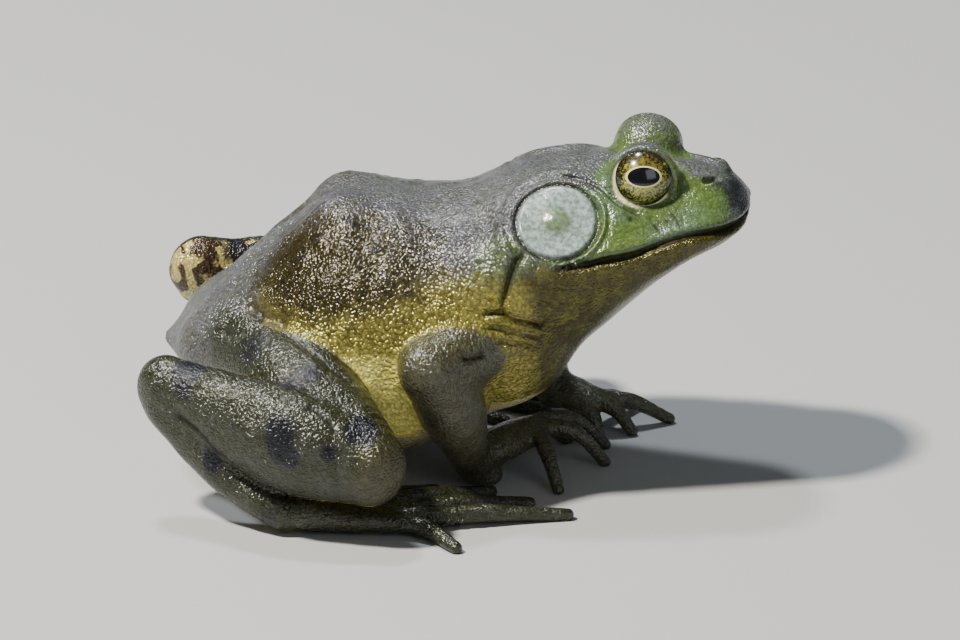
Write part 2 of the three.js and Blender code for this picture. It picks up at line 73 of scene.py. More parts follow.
def unit(vector: np.ndarray) -> np.ndarray:
    """Returns a vector, or each row of an array of vectors, at length one."""
    return vector / np.maximum(np.linalg.norm(vector, axis=-1, keepdims=True), 1e-9)


def smooth_min(a: np.ndarray, b: np.ndarray, blend: float) -> np.ndarray:
    """Returns the lesser of two fields, rounded over where they are within blend of each other."""
    near = np.maximum(blend - np.abs(a - b), 0.0) / blend
    return np.minimum(a, b) - near * near * blend / 4.0


def smooth_max(a: np.ndarray, b: np.ndarray, blend: float) -> np.ndarray:
    """Returns the greater of two fields, rounded over where they are within blend of each other."""
    return -smooth_min(-a, -b, blend)


def fade(value: np.ndarray, start: float, end: float) -> np.ndarray:
    """Returns 0 to 1 as value goes from start to end, easing in and out."""
    t = np.clip((value - start) / (end - start), 0.0, 1.0)
    return t * t * (3.0 - 2.0 * t)


@dataclass(frozen=True)
class Profile:
    """A smooth function through knots (x, value), level beyond its ends."""

    knots: Knots

    def __call__(self, x: np.ndarray) -> np.ndarray:
        """Returns the function's value at each x."""
        xs = np.array([k[0] for k in self.knots], float)
        ys = np.array([k[1] for k in self.knots], float)
        slope = np.empty_like(ys)
        slope[1:-1] = (ys[2:] - ys[:-2]) / (xs[2:] - xs[:-2])
        slope[0] = (ys[1] - ys[0]) / (xs[1] - xs[0])
        slope[-1] = (ys[-1] - ys[-2]) / (xs[-1] - xs[-2])
        x = np.clip(x, xs[0], xs[-1])
        i = np.clip(np.searchsorted(xs, x, side="right") - 1, 0, len(xs) - 2)
        width = xs[i + 1] - xs[i]
        t = (x - xs[i]) / width
        rise = t * t * (3.0 - 2.0 * t)
        bend = slope[i] * t * (1 - t) ** 2 - slope[i + 1] * t * t * (1 - t)
        return ys[i] + (ys[i + 1] - ys[i]) * rise + width * bend


def smooth_path(points: Sequence[Sequence[float]], count: int) -> np.ndarray:
    """Runs a smooth curve through points.

    Args:
        points: The points that the curve passes through.
        count: How many points to return, evenly spaced along it.

    Returns:
        The curve as an array of count rows.
    """
    given = np.array(points, float)
    if len(given) < 3:
        return np.linspace(given[0], given[-1], count)
    ghost = np.vstack([2 * given[0] - given[1], given, 2 * given[-1] - given[-2]])
    gaps = np.sqrt(np.linalg.norm(np.diff(ghost, axis=0), axis=1)) + 1e-9
    knots = np.concatenate([[0.0], np.cumsum(gaps)])
    fine = []
    for i in range(1, len(ghost) - 2):
        t = np.linspace(knots[i], knots[i + 1], 24)[:, None]
        p0, p1, p2, p3 = ghost[i - 1 : i + 3]
        k0, k1, k2, k3 = knots[i - 1 : i + 3]
        a1 = (k1 - t) / (k1 - k0) * p0 + (t - k0) / (k1 - k0) * p1
        a2 = (k2 - t) / (k2 - k1) * p1 + (t - k1) / (k2 - k1) * p2
        a3 = (k3 - t) / (k3 - k2) * p2 + (t - k2) / (k3 - k2) * p3
        b1 = (k2 - t) / (k2 - k0) * a1 + (t - k0) / (k2 - k0) * a2
        b2 = (k3 - t) / (k3 - k1) * a2 + (t - k1) / (k3 - k1) * a3
        fine.append((k2 - t) / (k2 - k1) * b1 + (t - k1) / (k2 - k1) * b2)
    curve = np.vstack(fine)
    run = np.concatenate([[0.0], np.cumsum(np.linalg.norm(np.diff(curve, axis=0), axis=1))])
    even = np.linspace(0.0, run[-1], count)
    return np.stack([np.interp(even, run, curve[:, k]) for k in range(3)], axis=1)


def near_path(points: np.ndarray, path: np.ndarray) -> Tuple[np.ndarray, np.ndarray]:
    """Measures how far points are from a path.

    Args:
        points: The points, one a row.
        path: The path's own points in order.

    Returns:
        Each point's distance, and its place along the path from 0 to 1.
    """
    best = np.full(len(points), 1e9)
    along = np.zeros(len(points))
    steps = len(path) - 1
    for i in range(steps):
        line = path[i + 1] - path[i]
        t = np.clip((points - path[i]) @ line / max(line @ line, 1e-12), 0.0, 1.0)
        gap = np.linalg.norm(points - path[i] - t[:, None] * line, axis=1)
        closer = gap < best
        best[closer] = gap[closer]
        along[closer] = (i + t[closer]) / steps
    return best, along


# ---------------------------------------------------------------------------------------------------
# Flesh: the forms under the skin, in millimetres
# ---------------------------------------------------------------------------------------------------


@dataclass(frozen=True)
class Limb:
    """A round-ended length of limb whose section is an ellipse."""

    path: Sequence[Sequence[float]]
    wide: Knots
    thick: Knots
    facing: Point = (0.0, 0.0, 1.0)
    steps: int = 18

    def field(self, points: np.ndarray) -> np.ndarray:
        """Returns each point's distance outside the limb, or a large number if it is well away."""
        centre = smooth_path(self.path, self.steps + 1)
        reach = max(r for _, r in [*self.wide, *self.thick]) + 7.0
        found = np.full(len(points), 50.0)
        close = np.all((points > centre.min(0) - reach) & (points < centre.max(0) + reach), axis=1)
        if not close.any():
            return found
        near = points[close]
        best = np.full(len(near), 1e9)
        wide, thick = Profile(self.wide), Profile(self.thick)
        tangents = unit(np.gradient(centre, axis=0))
        nearest = np.argmin(np.stack([np.sum((near - c) ** 2, axis=1) for c in centre]), axis=0)
        for step in (-1, 0):
            i = np.clip(nearest + step, 0, self.steps - 1)
            line = centre[i + 1] - centre[i]
            inner = np.clip(np.sum((near - centre[i]) * line, axis=1) / np.sum(line * line, axis=1), 0.0, 1.0)
            tangent = unit(tangents[i] + inner[:, None] * (tangents[i + 1] - tangents[i]))
            across = unit(np.cross(np.array(self.facing), tangent))
            over = np.cross(tangent, across)
            away = near - centre[i] - inner[:, None] * line
            share = (i + inner) / self.steps
            half_wide, half_thick = wide(share), thick(share)
            a = np.sum(away * across, axis=1) / half_wide
            b = np.sum(away * over, axis=1) / half_thick
            c = np.sum(away * tangent, axis=1) / half_thick
            k = np.sqrt(a * a + b * b + c * c)
            size = np.linalg.norm(away, axis=1)
            best = np.minimum(best, size - size / np.maximum(k, 1e-6))
        found[close] = best
        return found


@dataclass(frozen=True)
class Mass:
    """A fleshy swelling: an ellipsoid with its axes along x, y and z."""

    at: Point
    radii: Point
    blend: float

    def field(self, points: np.ndarray) -> np.ndarray:
        """Returns each point's distance outside the swelling."""
        k = np.linalg.norm((points - np.array(self.at)) / np.array(self.radii), axis=1)
        return (k - 1.0) * min(self.radii)


@dataclass(frozen=True)
class Torso:
    """The trunk and head: a section that changes from the vent to the snout, and what swells from it."""

    back: Profile = Profile([(-68, 31), (-57, 42), (-47, 51.4), (-36, 61.4), (-28, 68.6), (-21, 72),
                             (-12, 72.2), (0, 71.8), (10, 73.4), (22, 78), (32, 80.6), (42, 82), (54, 82),
                             (66, 80.7), (82, 80.6)])
    widest: Profile = Profile([(-68, 31), (-50, 33), (-20, 36), (2, 38), (16, 48), (28, 60), (42, 64.5),
                               (82, 67.5)])
    belly: Profile = Profile([(-68, 31), (-58, 24), (-44, 14), (-28, 7.5), (-8, 6), (6, 9.5), (18, 17),
                              (30, 27.2), (44, 39), (58, 52.2), (68, 59.8), (82, 64.8)])
    half_width: Profile = Profile([(-68, 8), (-60, 14), (-50, 22), (-38, 30), (-24, 35.5), (-8, 37),
                                   (6, 34.5), (18, 31), (34, 30.6), (48, 28), (60, 25), (82, 25)])
    square_above: Profile = Profile([(-60, 1.9), (-20, 1.95), (14, 2), (30, 2.2), (40, 1.9), (48, 1.45),
                                     (60, 1.45), (74, 1.9)])
    square_below: Profile = Profile([(-60, 2), (0, 2.1), (40, 2), (70, 2.2)])
    snout_tip: float = 79.9
    snout_tip_height: float = 70.5
    snout_round: float = 21.0
    chin_square: float = 7.0
    vent: float = -67.5
    vent_height: float = 31.5
    vent_round: float = 10.0
    masses: Tuple[Mass, ...] = (
        Mass((27, 23, 60), (12, 7, 9), 6),
        Mass((16, 22, 50), (14, 9, 13), 8),
        Mass((20, 12, 33), (14, 14, 12), 8),
        Mass((-20, 8, 65.6), (7, 5.5, 6), 5),
        Mass((-50, 11, 34), (12, 8.5, 9), 6),
    )

    def rounding(self, x: np.ndarray, square: float) -> np.ndarray:
        """Returns how much of the section is left at x where the snout or the rump rounds off."""
        ahead = (x - (self.snout_tip - self.snout_round)) / self.snout_round
        behind = (self.vent + self.vent_round - x) / self.vent_round
        share = np.clip(np.maximum(ahead, behind), 0.0, 0.9999)
        return np.sqrt(1.0 - share**square)

    def field(self, points: np.ndarray) -> np.ndarray:
        """Returns each point's distance outside the trunk and head."""
        x = np.clip(points[:, 0], self.vent + 0.1, self.snout_tip - 0.1)
        pole = np.where(x > 0, self.snout_tip_height, self.vent_height)
        round_all = self.rounding(x, 2.0)
        round_chin = np.where(x > 0, self.rounding(x, self.chin_square), round_all)
        half = self.half_width(x) * round_all
        middle = pole + (self.widest(x) - pole) * round_all
        above = pole + (self.back(x) - pole) * round_all - middle
        below = middle - (pole + (self.belly(x) - pole) * round_chin)
        rise = points[:, 2] - middle
        tall = np.where(rise > 0, above, below)
        square = np.where(rise > 0, self.square_above(x), self.square_below(x))
        across = np.abs(points[:, 1]) / np.maximum(half, 0.01)
        along = np.abs(rise) / np.maximum(tall, 0.01)
        share = (across**square + along**square) ** (1.0 / square)
        size = np.hypot(points[:, 1], rise)
        found = size * (1.0 - 1.0 / np.maximum(share, 1e-6))
        beyond = points[:, 0] - x
        found = np.where(beyond != 0, np.hypot(np.maximum(found, 0), beyond), found)
        mirrored = np.column_stack([points[:, 0], np.abs(points[:, 1]), points[:, 2]])
        for mass in self.masses:
            found = smooth_min(found, mass.field(mirrored), mass.blend)
        return found


@dataclass(frozen=True)
class Head:
    """What the head carries on each side: the eye's socket and lids, the ear, the nostril and the lips."""

    eye: Point = (53.7, 10.8, 80.0)
    eye_radius: float = 8.2
    eye_axis: Point = (0.066, 0.938, 0.342)
    lid_axis: Point = (0.05, 0.988, 0.14)
    lid_radius: float = 8.8
    lid_edge: float = 3.2
    lid_blend: float = 2.6
    rim_radius: float = 7.95
    ear: Point = (33.0, 22.3, 72.0)
    ear_axis: Point = (0.05, 0.765, 0.644)
    ear_radius: float = 10.3
    nostril: Point = (70.8, 8.0, 77.4)

    def ear_frame(self, points: np.ndarray) -> Tuple[np.ndarray, np.ndarray, np.ndarray]:
        """Measures mirrored points about the eardrum.

        Args:
            points: Points whose y is their distance from the midline.

        Returns:
            Each point's height over the drum's plane, its distance from the drum's axis, and its angle
            round that axis, 0 towards the snout and a quarter turn at the top.
        """
        axis = unit(np.array(self.ear_axis))
        away = points - np.array(self.ear)
        height = away @ axis
        flat = away - height[:, None] * axis
        forward = unit(np.cross(axis, np.array([0.0, 0.0, 1.0])))
        forward = forward if forward[0] > 0 else -forward
        upward = unit(np.array([0.0, 0.0, 1.0]) - axis[2] * axis)
        return height, np.linalg.norm(flat, axis=1), np.arctan2(flat @ upward, flat @ forward)

    def shape(self, found: np.ndarray, points: np.ndarray) -> np.ndarray:
        """Adds the head's own forms to the field of the trunk and head.

        Args:
            found: The field of the trunk and head at the points.
            points: The points.

        Returns:
            The field with the lids, the snout's ridges and the flats of the ears.
        """
        p = np.column_stack([points[:, 0], np.abs(points[:, 1]), points[:, 2]])
        ridge, _ = near_path(p, smooth_path([(60, 9.2, 78.6), (67, 8, 77.8), (72.5, 6.6, 76.4)], 7))
        found = smooth_min(found, ridge - 1.7, 2.5)
        lip = np.array(self.nostril) + np.array([(-0.5, 0.3, 0), (0.5, -0.3, 0)])
        nose, _ = near_path(p, lip)
        found = smooth_min(found, nose - 1.9, 2.0)
        eye, axis = np.array(self.eye), unit(np.array(self.lid_axis))
        away = p - eye
        from_eye = np.linalg.norm(away, axis=1)
        lids = smooth_max(from_eye - self.lid_radius, away @ axis - self.lid_edge, 1.0)
        found = smooth_min(found, lids, self.lid_blend)
        found = smooth_min(found, self.rim(away, axis), 1.0)
        found = np.minimum(found, from_eye - self.eye_radius + 0.35)
        height, reach, _ = self.ear_frame(p)
        return smooth_max(found, np.minimum(height, self.ear_radius + 1.3 - reach), 1.6)

    def rim(self, away: np.ndarray, axis: np.ndarray) -> np.ndarray:
        """Measures the rolled edge of the eyelids, thick over the eye and thin under it.

        Args:
            away: Points from the middle of the eye.
            axis: The way the opening faces.

        Returns:
            Each point's distance outside the edge.
        """
        height = away @ axis
        flat = away - height[:, None] * axis
        round_it = np.linalg.norm(flat, axis=1)
        upper = fade(flat[:, 2] / np.maximum(round_it, 1e-6), -0.2, 0.7)
        return np.hypot(round_it - self.rim_radius, height - self.lid_edge + 0.15) - 0.52 - 0.08 * upper


@dataclass(frozen=True)
class Web:
    """The web between two toes."""

    inner: np.ndarray
    outer: np.ndarray
    inner_reach: float
    outer_reach: float
    thickness: float = 0.9
    hollow: float = 0.42
    slack: float = 0.45

    def field(self, points: np.ndarray) -> np.ndarray:
        """Returns each point's distance outside the web, or a large number if it is well away."""
        rows, columns = 22, 12
        v = np.linspace(0.0, 1.0, rows)
        u = np.linspace(0.0, 1.0, columns)
        inner, outer = smooth_path(self.inner, 101), smooth_path(self.outer, 101)
        bow = 1.0 - self.hollow * np.sin(np.pi * u)
        sag = 1.0 - self.slack * np.sin(np.pi * u)
        a = (v[:, None] * bow[None, :] * self.inner_reach * 100).astype(int)
        b = (v[:, None] * bow[None, :] * self.outer_reach * 100).astype(int)
        grid = inner[a] * (1 - u)[None, :, None] + outer[b] * u[None, :, None]
        grid[:, :, 2] = np.maximum(grid[:, :, 2] * sag[None, :], self.thickness / 2 + 0.15)
        cloud = grid.reshape(-1, 3)
        found = np.full(len(points), 50.0)
        close = np.all((points > cloud.min(0) - 4) & (points < cloud.max(0) + 4), axis=1)
        if close.any():
            near = points[close]
            best = np.full(len(near), 1e9)
            for corner in cloud:
                away = near - corner
                best = np.minimum(best, np.hypot(np.hypot(away[:, 0], away[:, 1]) * 0.55, away[:, 2]))
            found[close] = best - self.thickness / 2
        return found


@dataclass(frozen=True)
class Arm:
    """One arm: its joints from the shoulder out, and its four fingers from the thumb out."""

    side: Side
    shoulder: Point
    elbow: Point
    wrist: Point
    knuckles: Point
    fingers: Tuple[Tuple[Point, Point, Point], ...]

    def digits(self) -> List[Tuple[np.ndarray, float]]:
        """Returns each finger's path, from inside the palm to its tip, and its half thickness."""
        wrist, knuckles = place(self.wrist, self.side), place(self.knuckles, self.side)
        root = wrist + (knuckles - wrist) * 0.6
        return [(np.array([root, *[place(joint, self.side) for joint in joints]]), 2.5 if i == 0 else 2.1)
                for i, joints in enumerate(self.fingers)]

    def field(self, points: np.ndarray) -> np.ndarray:
        """Returns each point's distance outside the arm and hand."""
        shoulder, elbow, wrist, knuckles = (
            place(joint, self.side) for joint in (self.shoulder, self.elbow, self.wrist, self.knuckles))
        upper = Limb([shoulder, (shoulder + elbow) / 2, elbow], [(0, 8.5), (0.6, 7.6), (1, 7)],
                     [(0, 10), (0.6, 8.2), (1, 7)])
        swell = elbow + (wrist - elbow) * 0.4 + place((1.5, 0.5, 0), self.side)
        fore = Limb([elbow, swell, wrist], [(0, 6.4), (0.3, 8.8), (0.65, 7.6), (1, 5)],
                    [(0, 6.6), (0.35, 8), (0.7, 6.6), (1, 4.4)], (1, 0, 0.3))
        palm = Limb([wrist + (knuckles - wrist) * k for k in (0.12, 0.55, 1)], [(0, 4.6), (0.5, 6.2), (1, 5.4)],
                    [(0, 4), (0.5, 3.8), (1, 3)])
        heel_at = wrist + (knuckles - wrist) * 0.2
        heel = Mass((heel_at[0], heel_at[1], 2.2), (5, 4.4, 2.9), 2)
        found = smooth_min(upper.field(points), fore.field(points), 4.0)
        hand = smooth_min(palm.field(points), heel.field(points), 2.0)
        for path, thick in self.digits():
            hand = smooth_min(hand, digit_field(points, path, thick), 1.2)
        return smooth_min(found, hand, 3.0)


@dataclass(frozen=True)
class Leg:
    """One hind leg: its joints from the hip out, and its five toes from the inner one out."""

    side: Side
    hip: Point
    thigh: Point
    knee: Point
    heel: Point
    instep: Point = (-33, 53, 5.4)
    metatarsus: Point = (-6, 50.5, 3.6)
    toes: Tuple[Tuple[Point, Point, Point], ...] = (
        ((-20, 47, 3.7), (-8, 34, 3.1), (3, 24, 1.2)),
        ((-15, 47.6, 3.7), (2, 34, 3.1), (17, 25, 1.2)),
        ((-11, 49, 3.7), (9, 38.6, 3.1), (27, 32.4, 1.2)),
        ((-8, 51, 3.7), (15, 45, 3.1), (37, 39.6, 1.2)),
        ((-12, 54, 3.7), (2, 55, 3.1), (11, 64, 1.2)),
    )
    longest: int = 3

    def parts(self) -> Dict[str, Limb]:
        """Returns the thigh, the shank, the tarsus and the metatarsus."""
        hip, thigh, knee, heel, instep, end = (
            place(joint, self.side)
            for joint in (self.hip, self.thigh, self.knee, self.heel, self.instep, self.metatarsus))
        calf = knee + (heel - knee) * 0.42 + place((0, 3, -1), self.side)
        sole = instep + (heel - instep) * 0.45 + place((-1.6, 1, -4), self.side)
        return {
            "thigh": Limb([hip, thigh, knee], [(0, 13.5), (0.45, 13.8), (0.8, 11), (1, 8.8)],
                          [(0, 13), (0.45, 12.8), (0.8, 10.6), (1, 8.8)]),
            "shank": Limb([knee + place((-0.4, 1.2, -1.6), self.side), calf, heel],
                          [(0, 8), (0.4, 10), (0.8, 7.4), (1, 6.2)], [(0, 9.8), (0.38, 13), (0.8, 9.8), (1, 8.4)],
                          (0.2, 0, 1)),
            "tarsus": Limb([heel + place((0, 1, -4), self.side), sole, instep], [(0, 5.6), (0.5, 5), (1, 5.2)],
                           [(0, 6.4), (0.5, 5.2), (1, 4.6)], (1, 0, 0.6)),
            "metatarsus": Limb([instep + (end - instep) * k for k in (0.12, 0.6, 1)],
                               [(0, 4.8), (0.6, 6), (1, 5.6)], [(0, 4.4), (0.6, 3.8), (1, 3)]),
        }

    def digits(self) -> List[Tuple[np.ndarray, float]]:
        """Returns each toe's path and its half thickness."""
        return [(np.array([place(joint, self.side) for joint in toe]), 2.0 if i == 0 else 2.3)
                for i, toe in enumerate(self.toes)]

    def webs(self) -> List[Web]:
        """Returns the webs between the toes."""
        paths = [path for path, _ in self.digits()]
        reach = [0.74 if i == self.longest else 0.9 for i in range(len(paths))]
        return [Web(paths[i], paths[i + 1], reach[i], reach[i + 1]) for i in range(len(paths) - 1)]

    def foot_field(self, points: np.ndarray) -> np.ndarray:
        """Returns each point's distance outside the foot."""
        found = self.parts()["metatarsus"].field(points)
        tubercle = place((-25, 47.5, 1.6), self.side)
        found = smooth_min(found, Mass(tuple(tubercle), (4, 2, 2.4), 1).field(points), 1.5)
        for path, thick in self.digits():
            found = smooth_min(found, digit_field(points, path, thick), 1.0)
        for web in self.webs():
            found = smooth_min(found, web.field(points), 0.8)
        return found


def digit_field(points: np.ndarray, path: np.ndarray, thick: float) -> np.ndarray:
    """Returns each point's distance outside a finger or toe that runs along a path."""
    girth = [(0, 1.15), (0.4, 0.98), (0.55, 1.04), (0.75, 0.84), (1, 0.72)]
    sizes = [(t, r * thick) for t, r in girth]
    return Limb(path, sizes, sizes, steps=14).field(points)


@dataclass(frozen=True)
class Flesh:
    """The whole animal under its skin."""

    torso: Torso = Torso()
    head: Head = Head()
    arms: Tuple[Arm, ...] = (
        Arm(Side.RIGHT, (25, 17, 43), (2.5, 40, 38.5), (11.4, 18.5, 7.2), (26, 3.5, 10),
            (((23, -0.5, 8), (29, -7, 7), (33.5, -14, 1.1)),
             ((26, 1, 10.6), (35.5, -5.5, 9.6), (43.4, -10.4, 1.1)),
             ((27, 4, 10.8), (36.5, 3, 9.4), (44, 1.7, 1.1)),
             ((25.6, 6.4, 10), (29.6, 14, 9), (33.6, 22, 1.1)))),
        Arm(Side.LEFT, (25, 17, 43), (17, 42.5, 36), (28.5, 27.5, 10.4), (38.5, 23.5, 8.4),
            (((36, 21, 7.2), (39.4, 18.4, 5.6), (41.4, 16.4, 1.1)),
             ((39, 22, 8.8), (45, 21.4, 6.8), (49.6, 20.4, 1.1)),
             ((39.6, 24.6, 8.8), (50, 27.4, 6.2), (58.6, 30, 1.1)),
             ((38, 26.6, 7.6), (44, 33, 5.4), (50, 39.6, 1.1)))),
    )
    legs: Tuple[Leg, ...] = (
        Leg(Side.RIGHT, (-43, 12, 35), (-27, 38, 30), (-11, 57, 21), (-61.5, 40, 32)),
        Leg(Side.LEFT, (-43, 12, 35), (-27, 38, 31), (-11, 57, 22), (-61.5, 43, 34.4)),
    )

    def field(self, points: np.ndarray) -> np.ndarray:
        """Returns each point's distance outside the flesh."""
        found = self.head.shape(self.torso.field(points), points)
        for arm in self.arms:
            found = smooth_min(found, arm.field(points), 3.5)
        for leg in self.legs:
            parts = leg.parts()
            found = smooth_min(found, parts["thigh"].field(points), 3.0)
            found = smooth_min(found, parts["shank"].field(points), 1.4)
            found = smooth_min(found, parts["tarsus"].field(points), 1.6)
            found = smooth_min(found, leg.foot_field(points), 1.6)
        return smooth_max(found, 0.05 - points[:, 2], 0.3)


# ---------------------------------------------------------------------------------------------------
# Skin: its mesh, what is modelled into it, and where its colours lie
# ---------------------------------------------------------------------------------------------------

FLESH_NODES = ("head", "lower_jaw", "trunk", "tympanum_right", "tympanum_left", *(
    f"{part}_{side}" for side in ("right", "left")
    for part in ("upper_arm", "forearm", "hand", "thigh", "shank", "tarsus", "foot")))
EYE_NODES = ("eye_right", "eye_left")


@dataclass(frozen=True)
class Stroke:
    """One stroke of a modelling tool along the skin: a groove or a ridge that fades at its ends, with shade painted
    into a groove when dark is set.
    """

    mark: Mark
    path: Sequence[Point]
    width: float
    height: float
    sharp: float = 2.0
    ends: float = 0.12
    # How darkly the groove is painted: painted shade, not a colour of the skin.
    dark: float = 0.0

    def paths(self) -> List[np.ndarray]:
        """Returns the stroke's path on the right and on the left."""
        return [smooth_path([place(p, side) for p in self.path], 5 * len(self.path)) for side in Side]

    def cover(self, points: np.ndarray, path: np.ndarray, wider: float = 1.0) -> np.ndarray:
        """Measures the stroke's effect.

        Args:
            points: Points of the skin.
            path: One of the stroke's paths.
            wider: How much wider than modelled to take it.

        Returns:
            0 to 1 at each point.
        """
        lift = np.zeros(len(points))
        reach = self.width * wider * 3.0
        close = np.all((points > path.min(0) - reach) & (points < path.max(0) + reach), axis=1)
        if close.any():
            gap, along = near_path(points[close], path)
            taper = fade(along, 0.0, self.ends) * fade(-along, -1.0, self.ends - 1.0)
            lift[close] = np.exp(-((gap / (self.width * wider)) ** self.sharp)) * taper
        return lift


def shifted(path: Sequence[Point], up: float) -> List[Point]:
    """Returns a path moved upwards by a distance."""
    return [(x, out, z + up) for x, out, z in path]


MOUTH: Tuple[Point, ...] = (
    (80, 0, 69.1), (79.6, 5, 69.1), (78.2, 10.6, 68.9), (74.8, 16.3, 69), (70.8, 20.1, 69.3), (66.7, 22.3, 69.4),
    (61.1, 24.2, 68.3), (56.9, 24.9, 66.6), (52.7, 26.2, 65.4), (45.6, 27.9, 64.2), (40.6, 29, 63.2),
    (36.2, 30.4, 62.7), (32, 31.2, 62.6))
SHOULDER_FOLD: Tuple[Point, ...] = (
    (14.9, 33.3, 50.8), (19.6, 32.9, 51.3), (23.3, 32.2, 49.5), (27.2, 31, 48.4), (30.8, 28.8, 46.1))

# The folds, creases and lips, each given on the right as (x, out, z) and made on both sides. Where dark is set,
# shade is painted into the groove.
STROKES: Tuple[Stroke, ...] = (
    Stroke(Mark.RIDGE, shifted(MOUTH[:-2], 1.9), 1.5, 0.5),
    Stroke(Mark.RIDGE, shifted(MOUTH[:-1], -1.8), 1.4, 0.45),
    # The mouth's groove, painted dark as the shade under the upper lip.
    Stroke(Mark.GROOVE, MOUTH, 1.0, 1.7, sharp=1.7, ends=0.05, dark=1.0),
    # The fold that runs from the eye over the eardrum and down behind it, and the crease beside it.
    Stroke(Mark.RIDGE, [(44.5, 13.6, 80.6), (40.2, 12.3, 80.6), (36.6, 11.0, 80.8), (32.3, 9.6, 80.4),
                        (27.6, 9.8, 79.4), (23.4, 12.4, 77.4), (20.6, 17, 74.8), (19.4, 21.5, 72.2),
                        (19.8, 26.4, 69.2), (21.0, 29.8, 66.0), (20.4, 31.6, 62.0),
                        (19.2, 32.6, 57)], 1.7, 0.95, ends=0.2),
    Stroke(Mark.GROOVE, [(25.4, 29.4, 66.4), (23.8, 30.6, 64.4), (22.4, 31.6, 61.4), (21.2, 32.4, 57.4),
                         (20.4, 32.8, 53.4), (19.8, 32.9, 50.6)], 1.0, 1.7, sharp=1.5, dark=0.9),
    Stroke(Mark.GROOVE, [(33, 11, 80.4), (38.2, 12.6, 80.2), (41, 13.6, 79.7), (43.6, 15, 78.9),
                         (45.5, 16.6, 77.4), (47.8, 18, 75.6), (50.6, 18.8, 74.2),
                         (54.5, 19.4, 73.2)], 0.7, 0.7, dark=0.5),
    Stroke(Mark.RIDGE, [(42, 16, 78.4), (45, 18.6, 75.8), (48, 20, 73.8), (52, 20.8, 72.2)], 1.6, 0.35),
    # The loose skin over the shoulder.
    Stroke(Mark.GROOVE, SHOULDER_FOLD, 0.9, 1.5, sharp=1.6, dark=0.9),
    Stroke(Mark.RIDGE, shifted(SHOULDER_FOLD, -1.7), 1.0, 0.6),
    Stroke(Mark.RIDGE, shifted(SHOULDER_FOLD, 2.0), 1.6, 0.5),
    Stroke(Mark.GROOVE, [(15.6, 34.2, 47.6), (19.8, 33.2, 47.4), (23.5, 31.9, 45.9), (27.1, 30, 44.2),
                         (30.7, 27.2, 42.4)],
           0.65, 0.8, sharp=1.6, dark=0.7),
    Stroke(Mark.GROOVE, [(18.2, 34, 44.2), (22.5, 31.6, 43.4), (26.4, 29.2, 41.6), (29, 27, 39.4)],
           0.6, 0.6, dark=0.5),
    # Slack folds under the jaw and over the throat.
    Stroke(Mark.GROOVE, [(26, 31.4, 60.4), (31, 31.4, 58.6), (37, 30, 57.6), (43, 28, 57.4)],
           0.9, 0.35, dark=0.2),
    Stroke(Mark.GROOVE, [(25, 31.6, 55.4), (31, 30.6, 53.2), (37, 28, 51.8), (42, 25, 51.4)],
           1.0, 0.4, dark=0.2),
    # The ridges of the hips and of the hind end of the backbone.
    Stroke(Mark.RIDGE, [(-18, 9, 70.4), (-26, 9.4, 68), (-36, 8.6, 60.8), (-48, 6.6, 50.6), (-58, 4.4, 41)],
           2.6, 0.7),
    Stroke(Mark.RIDGE, [(-18, 0, 72.2), (-30, 0, 67), (-44, 0, 54.4), (-58, 0, 41.2)], 2.2, 0.6, ends=0.25),
    # The hollow where the thigh leaves the hip, and the line between flank and thigh.
    Stroke(Mark.GROOVE, [(-50.6, 22.2, 41.1), (-47.6, 25.7, 41.6), (-43.9, 28.2, 42.9), (-39, 30, 44.4)],
           1.7, 0.9, dark=0.35),
    Stroke(Mark.GROOVE, [(-44.4, 19, 47.6), (-41.5, 23.3, 47.1), (-39, 26.2, 46.6), (-36.4, 27.9, 46.4),
                         (-33, 30.6, 45.4)],
           1.8, 1.5, dark=0.6),
    Stroke(Mark.RIDGE, [(-44, 16.7, 50.5), (-39.1, 21.3, 50.4), (-34, 26, 50.2)], 1.5, 0.5),
    Stroke(Mark.GROOVE, [(-34, 31.6, 44.9), (-28.7, 37.4, 43.5), (-21.3, 43.3, 39.9), (-14.8, 46.6, 36.2)],
           1.2, 0.6, dark=0.4),
    Stroke(Mark.GROOVE, [(-26.5, 58.3, 35.4), (-24, 58.8, 34.6), (-21.4, 60.1, 33.2), (-19.2, 61.6, 31.2),
                         (-17.9, 63.4, 28.7)],
           0.7, 0.6, dark=0.6),
    # Where the leg folds on itself.
    Stroke(Mark.GROOVE, [(-60.8, 47.7, 27.7), (-58.2, 49, 27.5), (-55.6, 50.6, 26.3), (-52.2, 52.4, 23.9),
                         (-48.9, 53.8, 20.5), (-44, 55.6, 17.6)], 0.8, 0.9, sharp=1.6, dark=0.8),
    Stroke(Mark.GROOVE, [(-46, 40, 41), (-38, 45, 40), (-30, 51, 37.4), (-22, 56, 33.6)], 0.9, 0.3, dark=0.2),
    Stroke(Mark.GROOVE, [(-34, 62.6, 24.6), (-26, 64.6, 22.6), (-18, 65.4, 21.2)], 0.8, 0.25, dark=0.15),
    # The bends of the elbow and the wrist.
    Stroke(Mark.GROOVE, [(16.6, 36, 42.2), (13.4, 38.6, 41.6), (10.6, 40.8, 42.4)], 0.9, 0.8, dark=0.5),
    Stroke(Mark.GROOVE, [(11.6, 23.6, 11.4), (14.6, 21, 12.4), (17.6, 17.6, 13)], 0.8, 0.4, dark=0.3),
    # Short, shallow nicks on the cheek, painted dark as shade in the cracks.
    Stroke(Mark.GROOVE, [(60.9, 18.9, 74.6), (62.6, 20.6, 72.6), (63.5, 22.6, 70.8)], 0.45, 0.04, dark=1.0),
    Stroke(Mark.GROOVE, [(56.9, 21.4, 71.9), (58, 22.7, 70.6), (58.8, 24.1, 69.4)], 0.45, 0.04, dark=1.0),
    Stroke(Mark.GROOVE, [(59.4, 20.4, 72.6), (60.6, 20.8, 72.3), (62, 21, 72)], 0.5, 0.04, dark=0.8),
    Stroke(Mark.GROOVE, [(49.4, 20.2, 74.4), (50.4, 21, 73.4), (51.4, 21.6, 72.4)], 0.45, 0.04, dark=0.8),
)


